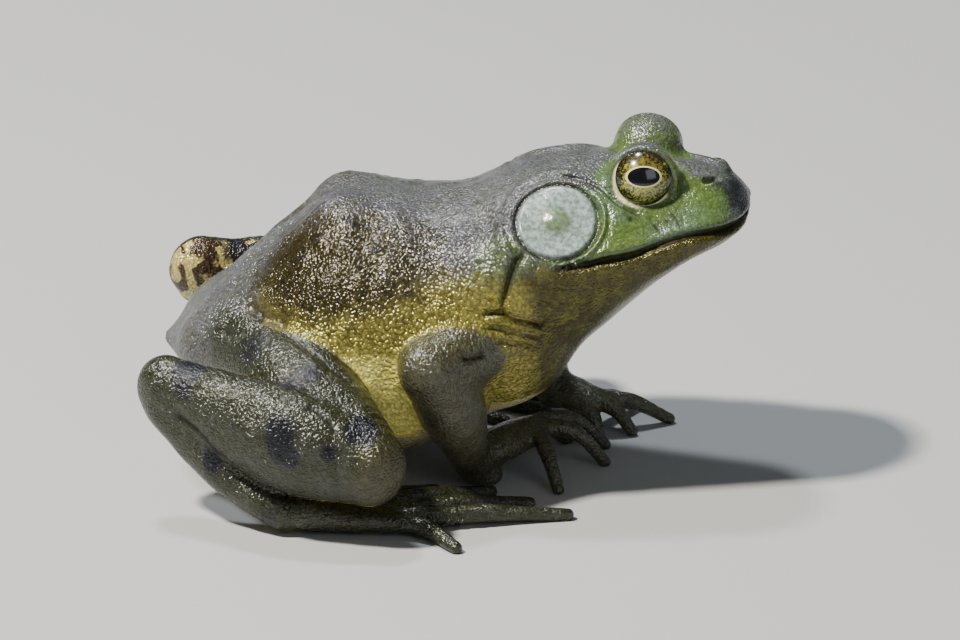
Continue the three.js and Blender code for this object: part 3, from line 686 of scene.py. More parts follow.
@dataclass(frozen=True)
class Patch:
    """A soft-edged patch of colour: an ellipsoid round a point."""

    at: Point
    radii: Point
    strength: float = 1.0
    edge: float = 0.45

    def cover(self, points: np.ndarray) -> np.ndarray:
        """Returns how much of the patch each point has, 0 to strength."""
        k = np.linalg.norm((points - np.array(self.at)) / np.array(self.radii), axis=1)
        return self.strength * (1.0 - fade(k, 1.0 - self.edge, 1.0 + self.edge))


@dataclass(frozen=True)
class Wart:
    """One low wart: where it is on a side, how wide and high, and how dark its top."""

    at: Point
    radius: float
    height: float
    dark: float = 0.0


BIG_WARTS: Tuple[Wart, ...] = tuple(Wart((x, out, z), r, h, 0.8) for x, out, z, r, h in (
    (-12.2, 23.1, 64, 1.7, 0.7), (-18.3, 17.3, 67.8, 1.8, 0.6), (-20.4, 16, 68.6, 1.5, 0.5),
    (3.2, 20.4, 66, 1.5, 0.5), (-8.8, 28.6, 58.6, 1.5, 0.5), (-20.9, 23.6, 62.8, 1.7, 0.6),
    (-1.3, 16.9, 67.5, 1.3, 0.4),
    (-7.7, 25.4, 62, 1.3, 0.4), (-15.4, 30.4, 56.1, 1.6, 0.5), (-26, 19, 64.4, 1.6, 0.5),
    (-30, 21, 60, 1.6, 0.5), (8, 24, 63, 1.2, 0.4), (-3.4, 31, 55, 1.3, 0.4), (-24, 28, 56, 1.6, 0.5),
    (-33, 25, 53, 1.5, 0.45)))


class Skin:
    """The one seamless skin of the frog."""

    def __init__(self, flesh: Flesh, voxel: float, most_triangles: int) -> None:
        """Args: flesh, the forms beneath; voxel, the first mesh's grain in mm; most_triangles, its limit."""
        self.flesh = flesh
        self.voxel = voxel
        self.most_triangles = most_triangles
        self.random = np.random.default_rng(SEED)
        self.drawn: List[Tuple[Stroke, np.ndarray]] = []
        self.warts: List[Wart] = []
        self.piece: Optional[bpy.types.Object] = None

    def build(self) -> bpy.types.Object:
        """Makes the skin's mesh.

        Returns:
            The finished piece, in metres in the model's frame.
        """
        self.join_solids()
        self.wrap()
        self.write(self.ease_lids(self.read(), 13.5, 14))
        self.wrap()
        self.refine_head()
        points = self.settle(self.read(), 4)
        points = self.relax(points, 3, 0.5)
        points = self.settle(points, 1)
        self.write(self.ease_lids(points, 11.5, 4))
        self.sculpt()
        self.thin_out()
        self.paint()
        self.select_only(self.piece)
        bpy.ops.object.shade_smooth()
        return self.piece

    @staticmethod
    def select_only(piece: bpy.types.Object) -> None:
        """Selects one object, makes it active and deselects the rest."""
        bpy.ops.object.select_all(action="DESELECT")
        piece.select_set(True)
        bpy.context.view_layer.objects.active = piece

    def join_solids(self) -> None:
        """Joins copies of the solids, the eyes too, so that the lids close behind them."""
        bpy.ops.object.select_all(action="DESELECT")
        copies = []
        for name in FLESH_NODES + EYE_NODES:
            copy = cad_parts[name].copy()
            copy.data = copy.data.copy()
            copy.parent = None
            for key in list(copy.keys()):
                del copy[key]
            bpy.context.scene.collection.objects.link(copy)
            copy.select_set(True)
            copies.append(copy)
        bpy.context.view_layer.objects.active = copies[0]
        bpy.ops.object.join()
        piece = bpy.context.view_layer.objects.active
        piece.name = "skin"
        piece.data.materials.clear()
        self.piece = piece
        bpy.ops.object.mode_set(mode="EDIT")
        bpy.ops.mesh.select_all(action="SELECT")
        bpy.ops.mesh.remove_doubles(threshold=0.00001)
        bpy.ops.object.mode_set(mode="OBJECT")
        grow = piece.modifiers.new("close the gaps", "DISPLACE")
        grow.strength, grow.mid_level = 0.3 * MM, 0.0
        bpy.ops.object.modifier_apply(modifier=grow.name)

    def wrap(self) -> None:
        """Wraps the piece in one closed mesh of even grain and drops every loose shell but the largest."""
        wrap = self.piece.modifiers.new("wrap", "REMESH")
        wrap.mode, wrap.voxel_size, wrap.adaptivity = "VOXEL", self.voxel * MM, 0.0
        bpy.ops.object.modifier_apply(modifier=wrap.name)
        bpy.ops.object.mode_set(mode="EDIT")
        bpy.ops.mesh.select_all(action="SELECT")
        bpy.ops.mesh.separate(type="LOOSE")
        bpy.ops.object.mode_set(mode="OBJECT")
        shells = sorted(bpy.context.selected_objects, key=lambda o: len(o.data.vertices))
        for shell in shells[:-1]:
            bpy.data.objects.remove(shell)
        self.piece = shells[-1]
        self.piece.name = "skin"
        self.select_only(self.piece)

    def from_eyes(self, points: np.ndarray) -> np.ndarray:
        """Returns each point's distance from the middle of the nearer eye."""
        mirrored = np.column_stack([points[:, 0], np.abs(points[:, 1]), points[:, 2]])
        return np.linalg.norm(mirrored - np.array(self.flesh.head.eye), axis=1)

    def refine_head(self) -> None:
        """Gives the head a grain twice as fine as the rest of the mesh."""
        mesh = self.piece.data
        flat = np.empty(len(mesh.polygons) * 3, np.float32)
        mesh.polygons.foreach_get("center", flat)
        middle = flat.reshape(-1, 3) / MM + MODEL_ORIGIN
        bpy.ops.object.mode_set(mode="EDIT")
        bpy.ops.mesh.select_mode(type="FACE")
        bpy.ops.mesh.select_all(action="DESELECT")
        bpy.ops.object.mode_set(mode="OBJECT")
        chosen = (middle[:, 0] > 17.0) & (middle[:, 2] > 54.0 + np.maximum(0.0, 30.0 - middle[:, 0]))
        folds = (middle[:, 0] > 12.0) & (middle[:, 0] < 36.0) & (middle[:, 2] > 40.0)
        chosen |= folds & (np.abs(middle[:, 1]) > 25.0)
        mesh.polygons.foreach_set("select", chosen)
        bpy.ops.object.mode_set(mode="EDIT")
        bpy.ops.mesh.subdivide(number_cuts=1)
        bpy.ops.mesh.select_all(action="SELECT")
        bpy.ops.mesh.quads_convert_to_tris()
        bpy.ops.object.mode_set(mode="OBJECT")

    def read(self) -> np.ndarray:
        """Returns the mesh's points in the flesh's millimetres."""
        mesh = self.piece.data
        flat = np.empty(len(mesh.vertices) * 3, np.float32)
        mesh.vertices.foreach_get("co", flat)
        return flat.reshape(-1, 3).astype(float) / MM + MODEL_ORIGIN

    def write(self, points: np.ndarray) -> None:
        """Puts points in the flesh's millimetres back into the mesh."""
        self.piece.data.vertices.foreach_set("co", ((points - MODEL_ORIGIN) * MM).astype(np.float32).ravel())
        self.piece.data.update()

    def normals(self) -> np.ndarray:
        """Returns the mesh's normals."""
        mesh = self.piece.data
        flat = np.empty(len(mesh.vertices) * 3, np.float32)
        mesh.vertices.foreach_get("normal", flat)
        return unit(flat.reshape(-1, 3).astype(float))

    def edges(self) -> np.ndarray:
        """Returns the two ends of every edge."""
        mesh = self.piece.data
        flat = np.empty(len(mesh.edges) * 2, np.int32)
        mesh.edges.foreach_get("vertices", flat)
        return flat.reshape(-1, 2)

    def settle(self, points: np.ndarray, rounds: int) -> np.ndarray:
        """Draws points onto the surface of the flesh.

        Args:
            points: The points.
            rounds: How many steps they take; the slope is measured afresh in every second one.

        Returns:
            The points on the surface.
        """
        small, most = 0.15, 1.2
        slope = np.zeros_like(points)
        for step in range(rounds):
            found = self.flesh.field(points)
            if step % 2 == 0:
                for k in range(3):
                    nudged = points.copy()
                    nudged[:, k] += small
                    slope[:, k] = (self.flesh.field(nudged) - found) / small
            steep = np.maximum(np.sum(slope * slope, axis=1), 0.15)
            move = -(found / steep)[:, None] * slope
            size = np.linalg.norm(move, axis=1, keepdims=True)
            points = points + move * np.minimum(1.0, most / np.maximum(size, 1e-9))
        tip = points[:, 0] > 75.0
        points[tip] = self.meet_snout(points[tip])
        return points

    def meet_snout(self, points: np.ndarray) -> np.ndarray:
        """Returns points at the snout's tip moved to the surface along rays from within it, by halving."""
        if not len(points):
            return points
        middle = np.array([60.0, 0.0, 70.5])
        way = points - middle
        low, high = np.full(len(points), 0.6), np.full(len(points), 1.4)
        for _ in range(12):
            half = (low + high) / 2
            inside = self.flesh.field(middle + way * half[:, None]) < 0
            low, high = np.where(inside, half, low), np.where(inside, high, half)
        return middle + way * low[:, None]

    def outward(self, points: np.ndarray) -> np.ndarray:
        """Returns the way out of the flesh at each point."""
        small = 0.3
        field = self.flesh.field
        steps = [field(points + small * way) - field(points - small * way) for way in np.eye(3)]
        return unit(np.stack(steps, axis=1))

    def relax(self, points: np.ndarray, rounds: int, share: float) -> np.ndarray:
        """Evens out points towards the middle of their neighbours.

        Args:
            points: The points of the mesh.
            rounds: How many times.
            share: How far towards the middle each goes.

        Returns:
            The evened points.
        """
        a, b = self.edges().T
        ends, others = np.concatenate([a, b]), np.concatenate([b, a])
        count = np.maximum(np.bincount(ends, minlength=len(points)), 1)[:, None]
        for _ in range(rounds):
            total = np.stack([np.bincount(ends, points[others, k], minlength=len(points))
                              for k in range(3)], axis=1)
            points = points + (total / count - points) * share
        return points

    def ease_lids(self, points: np.ndarray, reach: float, rounds: int) -> np.ndarray:
        """Evens the mesh round the rolled edges of the lids and at the snout's tip, where it bends most.

        Args:
            points: The points of the mesh.
            reach: How far from the middle of an eye it works.
            rounds: How many times.

        Returns:
            The points, moved only there.
        """
        for _ in range(rounds):
            held = np.nonzero((self.from_eyes(points) < reach) | (points[:, 0] > 76.0))[0]
            eased = self.relax(points, 2, 0.5)[held]
            points[held] = self.settle(eased, 1)
        return points

    def sculpt(self) -> None:
        """Models the folds, lips, ears, slack and warts into the skin."""
        self.write(self.slacken(self.read()))
        self.write(self.model_ears(self.read()))
        laid = self.settle(np.concatenate([path for stroke in STROKES for path in stroke.paths()]), 6)
        outward = self.outward(laid)
        start = 0
        for stroke in STROKES:
            points = self.read()
            lift = np.zeros(len(points))
            for path in stroke.paths():
                own = slice(start, start + len(path))
                start += len(path)
                lift = np.maximum(lift, stroke.cover(points, laid[own]))
                # Keeps the path, sunk into the groove, for the painted shade laid down in paint().
                self.drawn.append((stroke, laid[own] + 0.8 * stroke.mark.value * stroke.height * outward[own]))
            self.write(points + self.normals() * (stroke.mark.value * stroke.height * lift)[:, None])
        self.write(self.raise_warts(self.read()))
        self.write(self.open_nostrils(self.read()))

    def slacken(self, points: np.ndarray) -> np.ndarray:
        """Returns the points with the slight unevenness of loose skin over flesh."""
        wave = np.zeros(len(points))
        for length, height, count in ((26.0, 0.22, 5), (13.0, 0.16, 7), (7.0, 0.09, 9)):
            ways = unit(self.random.normal(size=(count, 3))) * (2.0 * math.pi / length)
            turns = self.random.uniform(0, 2 * math.pi, count)
            wave += height * np.sum(np.sin(points @ ways.T + turns), axis=1) / math.sqrt(count)
        calm = fade(points[:, 2], 1.0, 9.0) * (1.0 - 0.75 * fade(points[:, 0], 24.0, 34.0))
        return points + self.normals() * (wave * calm)[:, None]

    def model_ears(self, points: np.ndarray) -> np.ndarray:
        """Shapes each eardrum: a boss in its middle, a thin sunk ring at its edge and a raised rim."""
        head = self.flesh.head
        scale = head.ear_radius / 10.3
        profile = Profile([(r * scale, h) for r, h in (
            (0, 0.95), (1.5, 0.8), (3, 0.3), (5.5, 0.1), (8.2, 0.3), (9.3, 0.3), (9.9, -0.6), (10.4, -0.7),
            (11.0, 0.3), (11.5, 0.6), (12.1, 0.3), (12.8, -0.5), (13.5, -0.3), (14.6, 0))])
        mirrored = np.column_stack([points[:, 0], np.abs(points[:, 1]), points[:, 2]])
        height, reach, _ = head.ear_frame(mirrored)
        near = fade(-np.abs(height), -4.5, -2.5) * (reach < 14.6 * scale)
        axis = unit(np.array(head.ear_axis))
        way = np.column_stack([np.full(len(points), axis[0]), np.sign(points[:, 1]) * axis[1],
                               np.full(len(points), axis[2])])
        return points + (profile(reach) * near)[:, None] * way

    def raise_warts(self, points: np.ndarray) -> np.ndarray:
        """Returns the points with warts scattered over the flanks and, fewer and lower, over the back."""
        normals = self.normals()
        x, out, z = points[:, 0], np.abs(points[:, 1]), points[:, 2]
        on_torso = self.flesh.torso.field(points) < 0.8
        flank = np.nonzero(on_torso & (x > -46) & (x < 20) & (z > 30) & (out > 11))[0]
        back = np.nonzero(on_torso & (x > -50) & (x < 38) & (z > 50) & (out <= 13))[0]
        self.warts = []
        for wart in BIG_WARTS:
            self.warts += [Wart(tuple(place(wart.at, side)), wart.radius, wart.height, wart.dark)
                           for side in Side]
        for group, count, wide, high in ((flank, 420, (0.7, 1.5), (0.12, 0.42)),
                                         (back, 160, (0.6, 1.3), (0.06, 0.2))):
            for index in self.random.choice(group, count):
                size = self.random.beta(1.4, 2.6)
                self.warts.append(Wart(tuple(points[index]), wide[0] + size * (wide[1] - wide[0]),
                                       high[0] + size * (high[1] - high[0]), 0.25 * size))
        lift = np.zeros(len(points))
        order = np.argsort(x)
        sorted_x = x[order]
        for wart in self.warts:
            reach = 2.6 * wart.radius
            first, last = np.searchsorted(sorted_x, [wart.at[0] - reach, wart.at[0] + reach])
            near = order[first:last]
            gap = np.linalg.norm(points[near] - np.array(wart.at), axis=1)
            lift[near] = np.maximum(lift[near], wart.height * np.exp(-((gap / wart.radius) ** 2)))
        return points + normals * lift[:, None]

    def open_nostrils(self, points: np.ndarray) -> np.ndarray:
        """Returns the points with each nostril a slit sunk behind a raised lip, and keeps the slit for painted
        shade.
        """
        x, y, z = self.flesh.head.nostril
        for side in Side:
            slit = self.settle(np.array([place((x - 1.2, y + 0.7, z + 1.1), side), place((x, y, z + 1.1), side),
                                         place((x + 0.9, y - 0.6, z + 1.3), side)]), 6)
            slit = smooth_path(slit, 8)
            gap, _ = near_path(points, slit)
            inward = -unit(self.outward(slit).mean(axis=0))
            points = points + inward * (1.8 * np.exp(-((gap / 1.08) ** 3)))[:, None]
            # The slit's inside is painted dark later, as painted shade in the nostril.
            self.drawn.append((Stroke(Mark.GROOVE, [], 1.0, 1.8, ends=0.01, dark=1.0), slit + inward * 0.9))
        return points

    def thin_out(self) -> None:
        """Brings the mesh under its limit of triangles."""
        mesh = self.piece.data
        triangles = len(mesh.loops) - 2 * len(mesh.polygons)
        if triangles <= self.most_triangles:
            return
        thin = self.piece.modifiers.new("thin", "DECIMATE")
        thin.ratio = self.most_triangles / triangles
        self.select_only(self.piece)
        bpy.ops.object.modifier_apply(modifier=thin.name)

    def paint(self) -> None:
        """Lays down, as attributes of the mesh, how much of each colour the skin has at each point, and where shade
        is painted into grooves and nostrils.
        """
        points = self.read()
        layers = Markings(self.flesh).layers(points, self.normals())
        # Painted shade in the grooves, along the mouth and in the nostrils, from the paths the strokes left.
        dark = np.zeros(len(points))
        for stroke, path in self.drawn:
            if stroke.dark > 0:
                dark = np.maximum(dark, stroke.dark * stroke.cover(points, path, 1.3))
        layers["crease_shade"] = dark
        spots = layers["spot"]
        for wart in self.warts:
            if wart.dark > 0.1:
                gap = np.linalg.norm(points - np.array(wart.at), axis=1)
                spots = np.maximum(spots, wart.dark * 0.7 * np.exp(-((gap / (1.1 * wart.radius)) ** 2)))
        layers["spot"] = spots
        for name, cover in layers.items():
            layer = self.piece.data.attributes.new(name, "FLOAT", "POINT")
            layer.data.foreach_set("value", np.clip(cover, 0.0, 1.0).astype(np.float32))


@dataclass(frozen=True)
class Markings:
    """Where the skin's colours lie."""

    flesh: Flesh
    # Dark spots and bars on the legs, on the right; the left ones are set a little further forward.
    spots: Tuple[Patch, ...] = (
        Patch((-56, 44.6, 38.6), (4.5, 6, 3.2), 0.8), Patch((-57, 48, 35), (3, 4, 3), 0.7),
        Patch((-32.2, 62.4, 28.2), (3.8, 6, 6.6)), Patch((-29.6, 63.6, 23.6), (2.6, 4, 3), 0.8),
        Patch((-20, 64.7, 25.4), (2.2, 4, 2.4)), Patch((-49.8, 51.5, 18.2), (2.6, 5, 4.2), 0.9),
        Patch((-12.3, 60.3, 30.2), (4.4, 5, 4.6), 0.9), Patch((-42, 34, 41), (6, 5, 4), 0.6),
        Patch((-30, 50, 39), (6, 6, 3), 0.6), Patch((-26, 46.8, 39.6), (3, 4, 2.6), 0.7),
        Patch((-44, 54, 30), (2.4, 5, 3), 0.4), Patch((-40, 22, 44), (4, 5, 3.4), 0.6),
        Patch((-36, 56, 5), (3, 5, 4), 0.6), Patch((-52, 18, 36), (4, 4, 4), 0.5),
        Patch((-46, 46, 12), (2.6, 5, 3), 0.6), Patch((-18, 60, 13), (4, 4, 3), 0.4),
        Patch((4, 39, 26), (2.4, 4, 3), 0.5), Patch((1, 43, 36), (3, 3, 3), 0.35),
    )

    def layers(self, points: np.ndarray, normals: np.ndarray) -> Dict[str, np.ndarray]:
        """Works out each layer of colour.

        Args:
            points: The skin's points.
            normals: The skin's normals there.

        Returns:
            Each layer's name and its cover at each point, 0 to 1.
        """
        x, out, z = points[:, 0], np.abs(points[:, 1]), points[:, 2]
        side = np.sign(points[:, 1])
        mirrored = np.column_stack([x, out, z])
        torso, head = self.flesh.torso, self.flesh.head
        eye = np.linalg.norm(mirrored - np.array(head.eye), axis=1)
        on_torso = np.maximum(1.0 - fade(torso.field(points), 0.6, 2.6), 1.0 - fade(eye, 11.5, 13.5))
        arm = 1.0 - fade(np.minimum.reduce([a.field(points) for a in self.flesh.arms]), 0.2, 2.0)
        arm = arm * (1.0 - on_torso)
        leg = 1.0 - np.maximum(on_torso, arm)
        height, reach, _ = head.ear_frame(mirrored)
        reach = reach * 10.3 / head.ear_radius
        on_ear = fade(-np.abs(height), -4.0, -2.5)
        mouth = Profile([(p[0], p[2]) for p in sorted(MOUTH)])(x)
        softer = 5.0 * (1.0 - fade(x, 29.0, 38.0))
        below_mouth = fade(mouth - z, -0.3 - softer, 0.6 + softer)
        # Along the trunk: brown high on the flank, gold under it and yellow lowest.
        flank = on_torso * (1.0 - fade(x, 22.0, 34.0))
        brown = Patch((-24, 24, 59.5), (30, 17, 13.5), 1.0, 0.7).cover(mirrored) * flank
        gold = flank * fade(-z, -66.0, -52.0) * fade(out, 14.0, 22.0) * fade(x, -50.0, -34.0)
        yellow = flank * fade(-z, -46.0, -33.0) * fade(x, -52.0, -40.0) * (1.0 - 0.8 * fade(x, 6.0, 18.0))
        belly = on_torso * fade(-normals[:, 2], 0.55, 0.9) * (1.0 - fade(x, 24.0, 34.0))
        # The head: green sides, grey crown and snout tip, olive-yellow jaw.
        face = on_torso * fade(x, 22.0, 36.0) * (1.0 - fade(z, 75.5, 80.0) * (1.0 - fade(out, 14.0, 19.0)))
        face = face * (1.0 - 0.8 * fade(x, 71.0, 78.5) * fade(z, 66.0, 70.0))
        face = face * (1.0 - 0.75 * fade(z, 83.0, 88.0))
        behind = Patch((20, 31, 60), (9, 9, 14), 0.55).cover(mirrored) * on_torso
        beside_snout = Patch((66.8, 10.5, 77), (7.4, 4.6, 3.2), 1.0, 0.4).cover(mirrored) * on_torso
        lids = (1.0 - fade(eye, 11.0, 13.5)) * on_torso * (1.0 - 0.6 * fade(z, 82.0, 90.0))
        away = mirrored - np.array(head.eye)
        toward = away @ unit(np.array(head.lid_axis))
        flat = np.sqrt(np.maximum(np.sum(away * away, axis=1) - toward ** 2, 0.0))
        lid = (1.0 - fade(flat, 7.4, 7.8)) * (1.0 - fade(eye, 9.0, 9.5)) * (toward > 0)
        lid = lid * fade(-away[:, 0] - 0.5 * away[:, 2], 1.0, 5.0)
        throat = fade(x, 8.0, 20.0) * fade(-z, -52.0, -44.0)
        jaw = on_torso * np.maximum(below_mouth * fade(x, 16.0, 30.0), throat)
        marble = leg * fade(-side * normals[:, 1], 0.05, 0.5) * fade(-x, 14.0, 28.0)
        marble = np.maximum(marble, leg * fade(-normals[:, 2], 0.75, 0.98) * 0.9)
        knee = leg * Patch((-8, 58, 20), (9, 12, 12), 0.8).cover(mirrored)
        shifted_left = mirrored - np.where(side > 0, 2.5, 0.0)[:, None] * np.array([1.0, 0.0, 0.0])
        spot = np.zeros(len(x))
        for patch in self.spots:
            spot = np.maximum(spot, patch.cover(shifted_left))
        spot *= 1.0 - on_torso * fade(x, 20.0, 30.0)
        spot = np.maximum(spot, Patch((78, 3, 74), (6, 9, 6.5), 0.75, 0.5).cover(mirrored))
        return {
            "green": np.maximum.reduce([face * (1.0 - below_mouth), behind, beside_snout, 0.8 * lids]),
            "lid": lid,
            "yellow": np.maximum(yellow, belly), "gold": gold, "brown": brown, "jaw": jaw, "belly": belly,
            "arm": arm, "leg": leg, "marble": marble, "knee": knee, "spot": spot,
            "drum": (1.0 - fade(reach, 9.5, 10.1)) * on_ear,
            "hub": (1.0 - fade(reach, 1.5, 5.5)) * on_ear,
            # Painted shade in the sunk ring at the eardrum's edge.
            "ring_shade": np.exp(-(((reach - 10.35) / 0.4) ** 2)) * on_ear,
            "pebble": np.clip(flank * fade(out, 9.0, 20.0) + 0.3 * jaw
                              + 0.55 * np.maximum(leg, arm) * fade(normals[:, 2], -0.2, 0.5), 0, 1),
        }


# ---------------------------------------------------------------------------------------------------
# Finishes
# ---------------------------------------------------------------------------------------------------

Colour = Tuple[float, ...]


def linear(red: int, green: int, blue: int) -> Colour:
    """Returns a screen colour, 0 to 255, as the shader's linear colour."""
    return (*(c / 12.92 if c <= 0.04045 else ((c + 0.055) / 1.055) ** 2.4
              for c in (red / 255, green / 255, blue / 255)), 1.0)


class NodeSheet:
    """A material's or group's node tree, with short ways to add and join nodes."""

    def __init__(self, tree: bpy.types.NodeTree) -> None:
        """Args: tree, the node tree to write on."""
        self.tree = tree
        self.count = 0

    def add(self, kind: str, inputs: Optional[Dict[object, object]] = None, **settings: object) -> bpy.types.Node:
        """Adds a node.

        Args:
            kind: The node's type.
            inputs: Values or sockets for its inputs, by name or by place.
            settings: The node's own settings.

        Returns:
            The node.
        """
        node = self.tree.nodes.new(kind)
        node.location = (220 * (self.count % 9), -260 * (self.count // 9))
        self.count += 1
        for name, value in settings.items():
            setattr(node, name, value)
        for name, value in (inputs or {}).items():
            self.put(node.inputs[name], value)
        return node

    def put(self, socket: bpy.types.NodeSocket, value: object) -> None:
        """Links a socket to another, or gives it a value."""
        if isinstance(value, bpy.types.NodeSocket):
            self.tree.links.new(value, socket)
        else:
            socket.default_value = value

    def math(self, operation: str, *values: object, clamp: bool = False) -> bpy.types.NodeSocket:
        """Returns the result of a sum on numbers or sockets."""
        node = self.add("ShaderNodeMath", dict(enumerate(values)), operation=operation, use_clamp=clamp)
        return node.outputs[0]

    def mix(self, factor: object, a: object, b: object, blend: str = "MIX") -> bpy.types.NodeSocket:
        """Returns colour a with colour b laid over it by factor."""
        node = self.add("ShaderNodeMix", data_type="RGBA", blend_type=blend)
        for place_in, value in ((0, factor), (6, a), (7, b)):
            self.put(node.inputs[place_in], value)
        return node.outputs[2]

    def blend(self, factor: object, a: object, b: object) -> bpy.types.NodeSocket:
        """Returns value a with value b laid over it by factor."""
        node = self.add("ShaderNodeMix", data_type="FLOAT")
        for place_in, value in ((0, factor), (2, a), (3, b)):
            self.put(node.inputs[place_in], value)
        return node.outputs[0]

    def ramp(self, value: object, low: float, high: float) -> bpy.types.NodeSocket:
        """Returns 0 to 1 as a value goes from low to high."""
        node = self.add("ShaderNodeMapRange", {"Value": value, "From Min": low, "From Max": high},
                        interpolation_type="SMOOTHSTEP")
        return node.outputs["Result"]

    def noise(self, place_on: object, scale: float, detail: float = 3.0, rough: float = 0.55,
              warp: float = 0.0) -> bpy.types.NodeSocket:
        """Returns a noise whose grains are 1/scale metres wide."""
        return self.add("ShaderNodeTexNoise", {"Vector": place_on, "Scale": scale, "Detail": detail,
                                               "Roughness": rough, "Distortion": warp}).outputs["Fac"]

    def layer(self, name: str) -> bpy.types.NodeSocket:
        """Returns one of the skin's painted layers."""
        return self.add("ShaderNodeAttribute", attribute_name=name).outputs["Fac"]

    def broken(self, name: str, by: object, amount: float = 0.5, edge: float = 0.12) -> bpy.types.NodeSocket:
        """Returns a painted layer whose soft edge is broken up by a noise."""
        shifted_by = self.math("MULTIPLY", self.math("SUBTRACT", by, 0.5), amount * 2.0)
        return self.ramp(self.math("ADD", self.layer(name), shifted_by), 0.5 - edge, 0.5 + edge)


def granule_group() -> bpy.types.NodeTree:
    """Builds the group that makes skin grain: rounded granules with finer grain on them, and a mask of the crevices
    between them where shade is painted.
    """
    tree = bpy.data.node_groups.new("skin_granules", "ShaderNodeTree")
    for name, way in (("Size", "INPUT"), ("Height", "OUTPUT"), ("Crevice_shade", "OUTPUT"), ("Variation", "OUTPUT")):
        tree.interface.new_socket(name=name, in_out=way, socket_type="NodeSocketFloat")
    sheet = NodeSheet(tree)
    size = sheet.add("NodeGroupInput").outputs["Size"]
    place_on = sheet.add("ShaderNodeTexCoord").outputs["Object"]
    scale = sheet.math("DIVIDE", 1.0, size)
    warp = sheet.add("ShaderNodeTexNoise", {"Vector": place_on, "Scale": sheet.math("MULTIPLY", scale, 0.4),
                                            "Detail": 2.0})
    centred = sheet.add("ShaderNodeVectorMath", {0: warp.outputs["Color"], 1: (0.5, 0.5, 0.5)},
                        operation="SUBTRACT")
    moved = sheet.add("ShaderNodeVectorMath", {0: centred.outputs[0]}, operation="SCALE")
    sheet.put(moved.inputs["Scale"], sheet.math("MULTIPLY", size, 1.2))
    bent = sheet.add("ShaderNodeVectorMath", {0: place_on, 1: moved.outputs[0]}, operation="ADD").outputs[0]
    cells = sheet.add("ShaderNodeTexVoronoi", {"Vector": bent, "Scale": scale})
    apart = cells.outputs["Distance"]
    fall = sheet.math("MULTIPLY", sheet.math("MULTIPLY", apart, apart), 2.0)
    cell = sheet.math("SUBTRACT", 1.0, fall, clamp=True)
    fine = sheet.add("ShaderNodeTexNoise", {"Vector": bent, "Scale": sheet.math("MULTIPLY", scale, 2.8),
                                            "Detail": 2.0, "Roughness": 0.6}).outputs["Fac"]
    tint = sheet.add("ShaderNodeSeparateColor", {"Color": cells.outputs["Color"]})
    tallness = sheet.math("ADD", 0.55, sheet.math("MULTIPLY", tint.outputs["Green"], 0.6))
    tall = sheet.math("MULTIPLY", cell, tallness)
    height = sheet.math("ADD", tall, sheet.math("MULTIPLY", fine, 0.2))
    result = sheet.add("NodeGroupOutput")
    sheet.put(result.inputs["Height"], height)
    # Painted shade: how deep in the crevice between granules each place lies.
    sheet.put(result.inputs["Crevice_shade"], sheet.ramp(cells.outputs["Distance"], 0.35, 0.75))
    sheet.put(result.inputs["Variation"], tint.outputs["Red"])
    return tree


